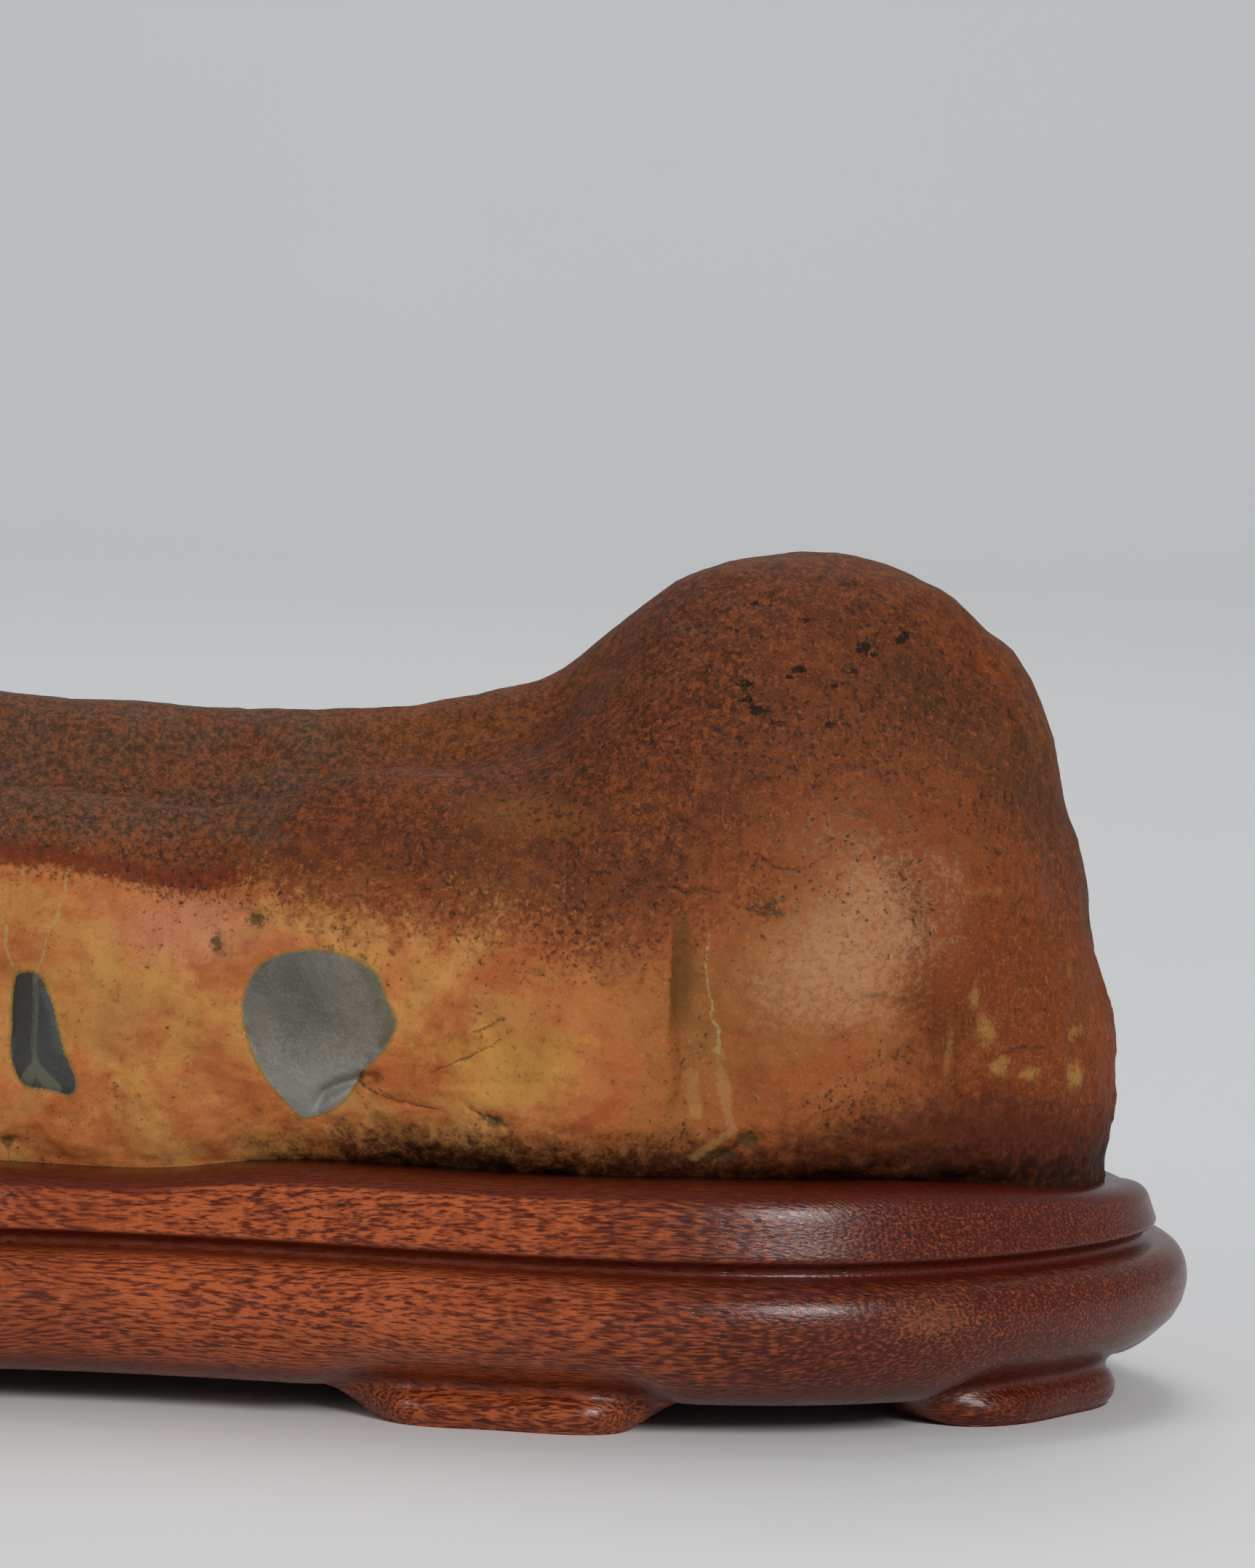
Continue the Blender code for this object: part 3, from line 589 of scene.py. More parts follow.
def stone_zones(points):
    """The shares of each colour zone, and the distances to the marks, for each point."""
    x, y, z = points.T
    front = on_front(points)
    behind = smooth_step(-6.0, 6.0, y)
    brow = smooth_curve(BROW_LINE, x)
    brow = brow - 5.0 * behind * (1.0 + 2.0 * uneven(points, 16.0, 2, 71.0))
    fade = np.maximum(chain(BROW_FADE, x), 7.0 * behind)
    patina = np.clip(0.5 + 0.5 * (z - brow) / fade, -0.6, 1.6)
    # The foot is darkened by real staining and by painted shade where the stone turns under
    stain_and_shade = np.maximum(chain(STAIN_AND_SHADE_SHARE, x), 0.8 * smooth_step(-4.0, 8.0, y))
    foot = smooth_step(6.0, 0.0, z - chain(STAIN_AND_SHADE_EDGE, x)) * stain_and_shade
    # Darker down the valley: partly staining, partly painted shade
    valley = 0.45 * bell(distance_to_line(x, z, BUTTRESS_VALLEY), 3.5) * front
    # Past the recess's sharp edge a band is darkened: partly olive staining, partly painted shade
    # in the recess
    past_edge = x - 37.9 + 0.03 * (33.0 - z)
    # A painted highlight on the buttress, where the key light falls on the bulge
    tan = np.hypot((x - 50.5 - 0.25 * (z - 36.0)) / 6.0, (z - 36.0) / 7.0)
    behind_rim = (smooth_step(-13.0, -9.5, y) * smooth_step(8.0, -4.0, y)
                  * smooth_step(22.0, 12.0, x) * smooth_step(33.0, 40.0, z))
    dome_top = bell(oval(x, z, (41.0, 55.0), 10.0, 6.0), 1.0)
    # The ledge in front of the basin is painted greyer, as a painted sheen
    ledge = smooth_step(38.5, 40.0, z) * smooth_step(16.0, 8.0, x)
    shares = {
        "warmth": smooth_step(-7.0, 2.0, z - brow) * smooth_step(2.0, 14.0, x) * front,
        # The foot's darkening is partly painted shade; just above the lip it is all painted shade
        "foot": np.maximum(foot, valley),
        "lip_shade": smooth_step(5.5, 0.0, z - 17.0) * stain_and_shade,
        "dusky": smooth_step(22.0, 46.0, x),
        # Olive staining and painted shade just inside the recess
        "fold": (smooth_step(-0.2, 0.2, past_edge) * smooth_step(3.0, 0.3, past_edge)
                 * bell(z - 32.0, 4.5) * front),
        # Olive skin and painted shade down the dome's right shoulder
        "olive_skin": smooth_step(6.0, 0.5, distance_to_line(x, z, RIGHT_SHOULDER)),
        "red": smooth_step(52.0, 60.0, x + 0.25 * (z - 26.0)) * smooth_step(50.0, 40.0, z),
        "brow": bell(z - brow - 0.9, 1.0) * smooth_step(14.0, 5.0, x) * front,
        "olive": bell(x - 40.2 - 0.12 * (28.0 - z), 2.4) * bell(z - 30.0, 7.0) * front,
        # Painted highlight on the buttress
        "tan": bell(tan + 0.5 * uneven(points, 7.0, 4, 61.0), 1.0) * front,
        "lemon": oval_spots(x, z, LEMON_PATCHES) * front,
        # Real dirt in the basin behind the rim, greyer on the dome's top, and painted sheen on the
        # ledge
        "film": np.maximum.reduce([0.75 * behind_rim, 0.4 * dome_top, 0.7 * ledge]),
    }
    for name, (middle_x, middle_z), wide, high in FRONT_PATCHES:
        shares[name] = bell(x - middle_x, wide) * bell(z - middle_z, high) * front
    # Each share drops well below zero outside its zone, so that no pattern can carry it there
    zones = {name: 1.5 * share - 0.5 - smooth_step(0.12, 0.0, share)
             for name, share in shares.items()}
    zones["patina"] = patina
    zones["speckle"] = np.clip(
        0.25 * smooth_step(-0.5, 1.0, patina) + 0.08 * smooth_step(38.0, 46.0, x)
        + 0.2 * smooth_step(25.0, 19.0, z) * smooth_step(8.0, 20.0, x)
        + 0.08 * smooth_step(30.0, 35.0, z) + 0.1 * smooth_step(44.0, 50.0, z)
        + 0.45 * uneven(points, 7.0, 4, 51.0), -0.2, 0.5) * front
    eye = inside_outline(x, z, AGATE_EYE)
    wedge = inside_outline(x, z, AGATE_WEDGE)
    zones["agate"] = np.where(front > 0.5, np.maximum(eye, wedge), -5.0)
    zones["wedge"] = smooth_step(2.0, 0.0, x)
    zones["rim"] = bell(eye, 0.9) * smooth_step(14.0, 17.0, x) * smooth_step(25.0, 27.0, z)
    wavy = x + 0.3 * uneven(points, 1.6, 3, 41.0)
    away = (1.0 - front) * FAR_AWAY
    zones["vein"] = distance_to_lines(wavy, z, PALE_VEINS) + away
    ridge = np.minimum.reduce(
        [distance_to_line(wavy, z, line) - wide for line, wide in PALE_RIDGES])
    zones["ridge"] = 1.5 * smooth_step(0.45, 0.0, ridge) * front - 0.5
    fork = distance_to_lines(x, z, WEDGE_VEINS) - 0.35 * smooth_step(24.5, 22.0, z)
    zones["fork"] = fork + away
    zones["crack"] = np.minimum(crack_gap(points), 5.0)
    # Painted reflection: the eyes grow paler towards their bottom, as if reflecting the bright
    # floor
    zones["cloudy"] = smooth_step(29.0, 22.0, z)
    stained = [chip for chip in CHIPS if chip[3] >= STAINED_CHIP_DEPTH]
    zones["pit"] = front * oval_spots(x, z, stained)
    zones["spots"] = spots_on_dome(points)
    return zones


def store_zones(mesh, zones):
    for name, values in zones.items():
        layer = mesh.attributes.new(name, "FLOAT", "POINT")
        layer.data.foreach_set("value", values.astype(np.float32))


def shape_stone():
    """The stone's mesh: fine in front, finest at its marks, and plain behind."""
    block = sliced_block(STONE_CUTS, STONE_SUBDIVISIONS)

    def front_half_and_right_end(points):
        x, y, z = points.T
        return ((y < -1.0) | (x > 58.0) & (y < 10.0)) & (z > 14.5)

    def seen_front(points):
        x, y, z = points.T
        return (y < -6.0) & (x > -13.0) & (z > 16.0)

    for chosen in (front_half_and_right_end, seen_front, near_details):
        refine(block, chosen)
    base = project_to_stone(np.array([vertex.co[:] for vertex in block.verts]))
    zones = stone_zones(base)
    points = base + stone_normals(base) * small_relief(base, zones)[:, None]
    for vertex, point in zip(block.verts, points):
        vertex.co = point * MM
    return block, zones


# ---------------------------------------------------------------- the stand's mesh
SEAT_CLEARANCE = 0.15
SEAT_FLOOR_Z = STONE_BASE_Z - 0.3
SEAT_WALL_FROM_Z = STONE_BASE_Z + 2.5
SEAT_EDGE_DROP = 0.35
SEAT_SOFTENINGS = 3
LIP_Z = 17.2
# The lip rises and falls with the stone's foot, as (x, z)
LIP_LINE = (
    (-76.0, 15.8), (-60.0, 17.0), (-30.0, 17.4), (-8.0, 16.6), (2.0, 16.6), (9.0, 17.4),
    (24.0, 17.6), (46.0, 17.8), (58.0, 17.6), (65.0, 17.0), (70.0, 16.3), (76.0, 15.5),
)
# Behind the stone the lip is lower by this much, reached at LIP_BACK_Y
LIP_BACK_DROP = 1.1
LIP_BACK_Y = 9.0
TIER_FOOT_Z = 12.6
# Upper tier from its ledge down to its lower edge, as (outwards from the plan edge, z)
UPPER_TIER = (
    (-4.2, 17.2), (-3.1, 17.2), (-2.3, 17.1), (-1.6, 16.85), (-1.05, 16.4), (-0.7, 15.8),
    (-0.48, 15.05), (-0.28, 14.2), (-0.08, 13.4), (0.02, 12.95),
)
LOWER_EDGE = ((0.0, 12.75), (-0.12, 12.62), (-0.35, 12.52))
# The cove under it, the shoulder, and the belly
LOWER_TIER = (
    (-0.7, 12.3), (-0.86, 11.95), (-0.75, 11.62), (-0.35, 11.46), (0.2, 11.4), (0.8, 11.28),
    (1.35, 11.03), (1.85, 10.6), (2.2, 10.0), (2.4, 9.2), (2.42, 8.3), (2.15, 7.1),
)
# Below the belly, each ring as (outwards, z) between the feet and on a foot
FOOT_PROFILE = (
    ((1.6, 5.8), (1.5, 6.0)), ((0.9, 4.75), (0.6, 5.15)), ((0.1, 3.85), (-0.4, 4.5)),
    ((-0.7, 3.15), (-1.35, 3.95)), ((-1.5, 2.68), (-2.05, 3.45)), ((-2.1, 2.46), (-2.3, 3.0)),
    ((-2.7, 2.4), (-2.15, 2.55)), ((-3.2, 2.4), (-1.75, 2.15)), ((-3.7, 2.4), (-1.45, 1.65)),
    ((-4.2, 2.4), (-1.4, 1.05)), ((-4.7, 2.4), (-1.6, 0.5)), ((-5.2, 2.4), (-2.0, 0.12)),
    ((-5.8, 2.4), (-2.6, 0.0)), ((-10.0, 2.4), (-10.0, 0.0)), ((-12.0, 3.0), (-12.0, 3.0)),
)
PROFILE_STEPS = 2
# The feet, as the bearings in degrees from the stand's middle where each begins and ends
FEET = ((-57.5, -36.0), (-19.0, 1.0), (10.0, 25.0), (36.0, 55.0))
# Past a foot's end its floor rises into the underside, and its pad narrows, over these shares
# of the fillet
FOOT_FILLET = 3.2
FLOOR_RISE = (-0.8, 1.2)
PAD_NARROWING = (-1.2, 0.8)
# The corners of a foot's pad are drawn in, and its front is dished a little in the middle
FOOT_CORNER = 3.4
CORNER_POWER = 4
CORNER_LIMIT = 1.3
FOOT_DISH = 0.35
DISH_HALF_WIDTH = 0.3
DISHED_HALF_LENGTH = 6.0
# Both fade in down the pad, and leave the foot's inner edge alone
PAD_FADE_Z = (4.5, 2.0)
PAD_INNER_EDGE = -9.0


def seat_ring(points, normals, z, clearance):
    """The stone's outline at height z, grown by clearance, met from each plan point."""
    start = np.column_stack([points, z])
    inward = np.column_stack([-normals, np.zeros(len(points))])
    depth = reach(start, inward, RAY_LENGTH / 3, lambda x, y, height: -stone_field(x, y, height))
    for _ in range(SEAT_SOFTENINGS):
        depth = (np.roll(depth, 1) + 2 * depth + np.roll(depth, -1)) / 4
    return start + inward * (depth - clearance)[:, None]


def lip_height(x, y):
    return smooth_curve(LIP_LINE, x) - LIP_BACK_DROP * smooth_step(0.0, LIP_BACK_Y, y)


def foot_places(points):
    """For each point of the plan edge, how far along its foot it is: zero in the middle of a
    foot, one at its ends and more between feet, with the foot's half length in mm."""
    count = len(points)
    step = np.linalg.norm(points - np.roll(points, 1, axis=0), axis=1).mean()
    bearing = np.degrees(np.arctan2(points[:, 1], np.abs(points[:, 0])))
    place = np.full(count, np.inf)
    half = np.ones(count)
    for side in (1.0, -1.0):
        for first, last in FEET:
            ring = np.flatnonzero((bearing > first) & (bearing < last) & (points[:, 0] * side > 0))
            gaps = np.flatnonzero(np.diff(ring) > 1)
            start, end = ring[0], ring[-1]
            if len(gaps):
                start, end = ring[gaps[0] + 1] - count, ring[gaps[0]]
            away = (np.arange(count) - (start + end) / 2 + count / 2) % count - count / 2
            reached = np.abs(away) * step
            length = (end - start) * step / 2
            nearer = reached - length < (place - 1.0) * half
            place = np.where(nearer, reached / length, place)
            half = np.where(nearer, length, half)
    return place, half


def stand_rings():
    """The stand as closed rings of points, from its seat floor round to its underside."""
    points, normals = PLAN, PLAN_NORMALS
    count = len(points)
    place, half = foot_places(points)
    past_end = (place - 1.0) * half / FOOT_FILLET
    down = 1.0 - smooth_step(*FLOOR_RISE, past_end)
    pad = 1.0 - smooth_step(*PAD_NARROWING, past_end)
    corner = FOOT_CORNER * np.clip(place, 0.0, CORNER_LIMIT) ** CORNER_POWER
    dish = FOOT_DISH * bell(place, DISH_HALF_WIDTH) * (half > DISHED_HALF_LENGTH)
    lip = lip_height(*points.T)

    def ring(outwards, z):
        flat = points + normals * np.broadcast_to(outwards, count)[:, None]
        return np.column_stack([flat, np.broadcast_to(z, count)])

    wall_foot = seat_ring(points, normals, np.full(count, SEAT_WALL_FROM_Z), SEAT_CLEARANCE)
    wall_foot[:, 2] = SEAT_FLOOR_Z
    seat_edge = seat_ring(points, normals, lip, SEAT_CLEARANCE)
    rings = [wall_foot, seat_edge - (0.0, 0.0, SEAT_EDGE_DROP), seat_edge]
    moulding = np.vstack([rounded_profile(UPPER_TIER, PROFILE_STEPS), LOWER_EDGE,
                          rounded_profile(LOWER_TIER, PROFILE_STEPS)])
    for outwards, z in moulding:
        raised = max(z - TIER_FOOT_Z, 0.0) / (LIP_Z - TIER_FOOT_Z)
        rings.append(ring(outwards, z + raised * (lip - LIP_Z)))
    bare, foot = (rounded_profile(side, PROFILE_STEPS) for side in zip(*FOOT_PROFILE))
    for (bare_out, bare_z), (foot_out, foot_z) in zip(bare, foot):
        drawn_in = smooth_step(*PAD_FADE_Z, foot_z) * (foot_out > PAD_INNER_EDGE)
        pulled = foot_out - drawn_in * (corner + dish)
        outwards = bare_out + (pulled - bare_out) * pad
        rings.append(ring(outwards, np.maximum(bare_z + (foot_z - bare_z) * down, 0.0)))
    return rings


def join_rows(block, rows, closed):
    """Adds the faces between each row of vertices and the next."""
    count = len(rows[0])
    for upper, lower in zip(rows, rows[1:]):
        for i in range(count if closed else count - 1):
            k = (i + 1) % count
            block.faces.new((upper[i], upper[k], lower[k], lower[i]))


def shape_stand():
    block = bmesh.new()
    rows = [[block.verts.new(point * MM) for point in ring] for ring in stand_rings()]
    join_rows(block, rows, closed=True)
    block.faces.new(rows[0])
    block.faces.new(rows[-1])
    return block


def stand_zones(mesh):
    """The shares of darker and paler wood over the stand, and of darker colour in its hollows: old
    waxy dirt and painted shade.
    """
    places = np.empty(len(mesh.vertices) * 3)
    mesh.vertices.foreach_get("co", places)
    x, y, z = places.reshape(-1, 3).T / MM
    return {
        # Darker wood towards the right end, and darker towards the bottom of the stand
        "heartwood": np.maximum(smooth_step(22.0, 52.0, x), 0.4 * smooth_step(4.0, 2.5, z)),
        "sapwood": bell(x - 57.0, 4.0) * bell(z - 9.0, 1.6),
        # Painted shade in the cove under the upper tier, on the ledge beside the stone and in the
        # feet's necks, together with old waxy dirt
        "wax": np.maximum.reduce([
            smooth_step(11.3, 11.6, z) * smooth_step(12.9, 12.65, z),
            0.9 * smooth_step(-1.1, -0.8, z - lip_height(x, y)), 0.6 * bell(z - 3.3, 0.7)]),
        "curly": np.maximum(smooth_step(4.0, -5.0, x), 0.8 * bell(x - 38.0, 16.0)),
    }


def place_mesh(name, block):
    """Adds the bmesh to the scene as a smooth-shaded object, and hands the object back."""
    bmesh.ops.recalc_face_normals(block, faces=block.faces[:])
    mesh = bpy.data.meshes.new(name)
    block.to_mesh(mesh)
    block.free()
    mesh.shade_smooth()
    piece = bpy.data.objects.new(name, mesh)
    bpy.context.scene.collection.objects.link(piece)
    return piece


# ---------------------------------------------------------------- materials
def linear(hex_colour):
    """An sRGB hex colour as linear red, green, blue and alpha."""
    parts = [int(hex_colour[i : i + 2], 16) / 255.0 for i in (1, 3, 5)]
    light = [c / 12.92 if c <= 0.04045 else ((c + 0.055) / 1.055) ** 2.4 for c in parts]
    return (*light, 1.0)


def repeats(size_mm):
    """The texture scale at which a pattern repeats about every size_mm."""
    return 1000.0 / size_mm


def set_inputs(node, inputs):
    """Gives each input, by its name or place, a value or a link from another node's output."""
    for socket, value in inputs.items():
        if isinstance(value, bpy.types.NodeSocket):
            node.id_data.links.new(value, node.inputs[socket])
        else:
            node.inputs[socket].default_value = value


def add_node(tree, kind, inputs=None, output=0, stops=(), **settings):
    """Adds a node with its settings, its inputs and a ramp's colour stops, and hands back one of
    its outputs."""
    node = tree.nodes.new("ShaderNode" + kind)
    for name, value in settings.items():
        setattr(node, name, value)
    set_inputs(node, inputs or {})
    for place, (position, colour) in enumerate(stops):
        ramp = node.color_ramp.elements
        stop = ramp[place] if place < len(ramp) else ramp.new(position)
        stop.position = position
        stop.color = linear(colour)
    return node.outputs[output]


def new_material(name):
    """A material, its shader, and the function that adds a node to its tree."""
    material = bpy.data.materials.new(name)
    material.use_nodes = True
    tree = material.node_tree
    return material, tree.nodes["Principled BSDF"], partial(add_node, tree)


# What makes a mix node mix colours, and its colour sockets
MIX = {"output": 2, "data_type": "RGBA"}
MIX_A = 6
MIX_B = 7
SMOOTH = {"interpolation_type": "SMOOTHSTEP"}


def between(begins, full):
    """The inputs of a map range node that rises from begins to full."""
    return {"From Min": begins, "From Max": full}


def lay_over(add, colour, layers, patterns):
    """Lays colours over colour, each where its zone and its pattern add up to enough.

    A layer is (zone, pattern, how far the pattern breaks the zone's edge, the two sums at which
    the layer begins and is full, its share there, its colour). With no zone it is everywhere.
    """
    for zone, pattern, breakup, (begins, full), share, over in layers:
        base = add("Attribute", output="Fac", attribute_name=zone) if zone else 0.0
        reached = add("Math", {0: patterns[pattern], 1: breakup, 2: base},
                      operation="MULTIPLY_ADD")
        edge = between(begins + breakup / 2, full + breakup / 2)
        cover = add("MapRange", {"Value": reached, **edge, "To Max": share}, **SMOOTH)
        over = linear(over) if isinstance(over, str) else over
        colour = add("Mix", {0: cover, MIX_A: colour, MIX_B: over}, **MIX)
    return colour


# Patterns in the stone: size in mm, detail, roughness, distortion
STONE_PATTERNS = {
    "patches": (16.0, 4.0, 0.55, 0.8),
    "clouds": (7.0, 7.0, 0.68, 0.6),
    "streaks": (2.6, 7.0, 0.72, 0.4),
    "flecks": (1.0, 7.0, 0.8, 0.3),
    "blots": (0.42, 2.0, 0.5, 0.0),
    "specks": (0.5, 5.0, 0.8, 0.1),
    "grains": (0.28, 4.0, 0.8, 0.0),
}
CLEAN_FACE = ((0.34, "#9b5128"), (0.46, "#ad6838"), (0.54, "#b47a41"), (0.66, "#b78649"))
BROWN_SKIN = ((0.34, "#30180d"), (0.46, "#4e2713"), (0.54, "#683519"), (0.66, "#8a4e27"))
GREY_CHALCEDONY = ((0.38, "#423d33"), (0.52, "#565146"), (0.66, "#645d4c"))
FACE_LAYERS = (
    (None, "streaks", 3.0, (0.0, 0.8), 0.5, "#914a25"),
    ("pink", "flecks", 3.0, (0.0, 1.2), 0.6, "#b97f60"),
    ("ochre", "streaks", 3.0, (0.0, 1.0), 0.75, "#bf9244"),
    ("dusky", "clouds", 4.0, (-0.4, 1.0), 0.75, "#7f431e"),
    ("olive", "flecks", 2.0, (0.0, 0.9), 0.4, "#7a5a2a"),
    ("red", "clouds", 5.0, (-0.3, 0.9), 0.85, "#5c280f"),
    ("red", "flecks", 5.0, (0.2, 1.3), 0.7, "#7d3a15"),
    ("red", "specks", 6.0, (0.9, 1.8), 0.6, "#3c1c0d"),
    ("red", "specks", -6.0, (1.0, 2.0), 0.4, "#a8602f"),
    ("lemon", "flecks", 5.0, (0.2, 1.1), 0.5, "#a77d3d"),
    ("lemon", "specks", 6.0, (0.8, 1.5), 0.4, "#b09a62"),
    (None, "specks", 4.0, (0.1, 0.8), 0.6, "#743818"),
    (None, "grains", -4.0, (0.2, 0.9), 0.4, "#c0925f"),
)
SKIN_LAYERS = (
    (None, "patches", 4.0, (0.1, 1.0), 0.35, "#7a2f12"),
    ("ochre_skin", "specks", 4.0, (0.2, 1.1), 0.6, "#85552a"),
    # Olive skin and painted shade down the dome's right shoulder
    ("olive_skin", "specks", 5.0, (0.1, 1.5), 0.6, "#3f2a17"),
    # Real dirt in the basin behind the rim, greyer on the dome's top, and painted sheen on the
    # ledge in front of the basin
    ("film", "streaks", 3.0, (-0.1, 1.1), 0.85, "#4f3f32"),
    # Painted highlight on the buttress
    ("tan", "specks", 5.0, (-0.3, 1.5), 0.62, "#b28a64"),
    ("brow", "flecks", 3.0, (0.1, 0.9), 0.8, "#662911"),
    # Painted shade and olive staining just inside the recess
    ("fold", "streaks", 1.5, (-0.3, 0.8), 0.8, "#5c3a1a"),
    ("smudge", "specks", 6.0, (0.2, 1.3), 0.75, "#38261a"),
    # Partly real staining and partly painted shade at the foot, then painted shade near black just
    # above the lip
    ("foot", "flecks", 3.0, (-0.4, 1.1), 0.88, "#481c0b"),
    ("lip_shade", "flecks", 4.0, (-0.1, 1.5), 0.92, "#130804"),
    ("patina", "specks", 7.0, (1.3, 2.4), 0.55, "#2a140b"),
    ("patina", "specks", -7.0, (1.4, 2.6), 0.45, "#a4562a"),
    ("speckle", "flecks", 4.0, (0.5, 1.1), 0.55, "#2f1a0f"),
    ("speckle", "blots", 3.0, (0.6, 1.0), 0.75, "#2a1c14"),
    ("spots", "specks", 3.0, (0.4, 0.8), 0.9, "#120c09"),
    ("pit", "specks", 2.5, (0.3, 0.9), 0.8, "#41361f"),
    ("ridge", "specks", 4.0, (0.1, 1.1), 0.5, "#a17b49"),
    ("vein", "specks", 0.4, (0.16, 0.0), 0.75, "#9f8d5a"),
    ("agate", "grains", 0.4, (-0.3, -0.02), 0.7, "#6d6230"),
)
CHALCEDONY_LAYERS = (
    (None, "flecks", 3.0, (0.1, 0.5), 0.35, "#33302a"),
    # Painted reflection, paler towards the bottom of the eye
    ("cloudy", "grains", 1.5, (-0.1, 1.1), 0.8, "#86837b"),
    ("wedge", "grains", 0.4, (0.3, 0.7), 0.95, "#151812"),
    ("rim", "flecks", 2.0, (0.2, 0.8), 0.8, "#4a4528"),
    ("fork", "grains", 0.4, (0.28, 0.08), 0.65, "#585946"),
)
# How far inside an eye's outline, in mm, the stone round it ends and the eye is full
EYE_EDGE = (-0.04, 0.07)
STONE_GLOSS_SPREAD = 0.14
STONE_GRAIN_SHARE = 0.7
STONE_BUMP = 0.13 * MM
STONE_IOR = 1.54


def waxed_jasper(looks):
    """River-tumbled jasper, waxed by handling.

    The orange face is clean silica, clouded at a few millimetres and grained at half a millimetre;
    the upper surfaces carry a brown skin of iron and manganese that starts as separate dark grains.
    The grey-green eyes are dense chalcedony and take a smoother polish than the stone round them.
    """
    material, shader, add = new_material("waxed river jasper")
    place = add("TexCoord", output="Object")
    patterns = {
        name: add("TexNoise", {"Vector": place, "Scale": repeats(size), "Detail": detail,
                               "Roughness": roughness, "Distortion": distortion})
        for name, (size, detail, roughness, distortion) in STONE_PATTERNS.items()}
    face = add("ValToRGB", {"Fac": patterns["clouds"]}, stops=CLEAN_FACE)
    skin = add("ValToRGB", {"Fac": patterns["flecks"]}, stops=BROWN_SKIN)
    grey = add("ValToRGB", {"Fac": patterns["clouds"]}, stops=GREY_CHALCEDONY)
    grey = lay_over(add, grey, CHALCEDONY_LAYERS, patterns)
    layers = (
        *FACE_LAYERS,
        ("warmth", "flecks", 3.0, (0.0, 1.2), 0.8, "#824322"),
        ("patina", "specks", looks.skin_breakup, (0.1, 1.1), 0.9, skin),
        *SKIN_LAYERS,
        ("agate", "grains", 0.4, EYE_EDGE, 1.0, grey),
        ("crack", "grains", 0.5, (0.14, 0.0), 0.7, "#2c1b12"),
    )
    colour = lay_over(add, face, layers, patterns)

    # The eyes are smoother than the skin, and the skin is a little uneven
    agate = add("Attribute", output="Fac", attribute_name="agate")
    gloss, shine = (
        add("MapRange", {"Value": agate, **between(*EYE_EDGE), "To Min": on_skin,
                         "To Max": on_eye})
        for on_skin, on_eye in ((looks.wax_roughness, looks.eye_roughness),
                                (looks.wax_shine, looks.eye_shine)))
    gloss = add("Math", {0: patterns["grains"], 1: STONE_GLOSS_SPREAD, 2: gloss},
                operation="MULTIPLY_ADD")
    height = add("Math", {0: patterns["grains"], 1: STONE_GRAIN_SHARE, 2: patterns["flecks"]},
                 operation="MULTIPLY_ADD")
    bump = add("Bump", {"Strength": looks.grain_depth, "Distance": STONE_BUMP, "Height": height})
    set_inputs(shader, {"Base Color": colour, "Roughness": gloss, "Specular IOR Level": shine,
                        "Normal": bump, "IOR": STONE_IOR})
    return material


# Patterns in the wood: length along the fibre and width across it in mm, and detail
WOOD_PATTERNS = {
    "fibre": (2.6, 0.3, 3.0),
    "broad": (26.0, 6.0, 4.0),
    "fine": (0.9, 0.14, 2.0),
    "dashes": (1.3, 0.17, 4.0),
    "curls": (1.1, 4.0, 4.0),
    "stretches": (4.0, 2.0, 2.0),
}
LAYER_TILT = 0.16
LAYER_WAVE = 4.0 * MM
LAYER_JITTER = 0.4 * MM
LAYER_CONTRAST = 0.6
# The sine of a layer's place at which the dark layer ends and the pale one is full
LAYER_EDGE = (-0.8, 0.6)
DASH_CONTRAST = 4.0
DASH_EDGE = (1.6, 2.9)
PORE_LENGTH = 2.4
PORE_WIDTH = 0.55
# A pore's edge and floor, as shares of the way to the next one, and where stretches have pores
PORE_EDGE = (0.24, 0.12)
PORE_STRETCHES = (0.42, 0.6)
PORE_SHARE = 0.8
PORE_COLOUR = "#26100c"
PORE_DEPTH = -2.5
FIBRE_RISE = 0.8
WOOD_BUMP = 0.02 * MM
WOOD_GLOSS_SPREAD = 0.16
WOOD_IOR = 1.5
OIL_FILM_ROUGHNESS = 0.14
WOOD_LAYERS = (
    (None, "broad", 2.0, (-0.2, 0.6), 0.5, "#7a3015"),
    ("curly", "curls", 4.0, (0.0, 1.2), 0.4, "#57200f"),
    (None, "fine", -3.0, (0.2, 0.8), 0.35, "#b9683a"),
    # Darker towards the right end and towards the bottom
    ("heartwood", "dashes", -2.8, (-0.1, 1.2), 0.95, "#3f1108"),
    ("sapwood", "dashes", 2.5, (0.2, 1.4), 0.5, "#8a5230"),
    # Darker in the hollows: painted shade and old waxy dirt
    ("wax", "dashes", 1.5, (0.0, 0.9), 0.85, "#4a1509"),
)


def fibre_scale(length, width):
    return repeats(length), repeats(width), repeats(width)


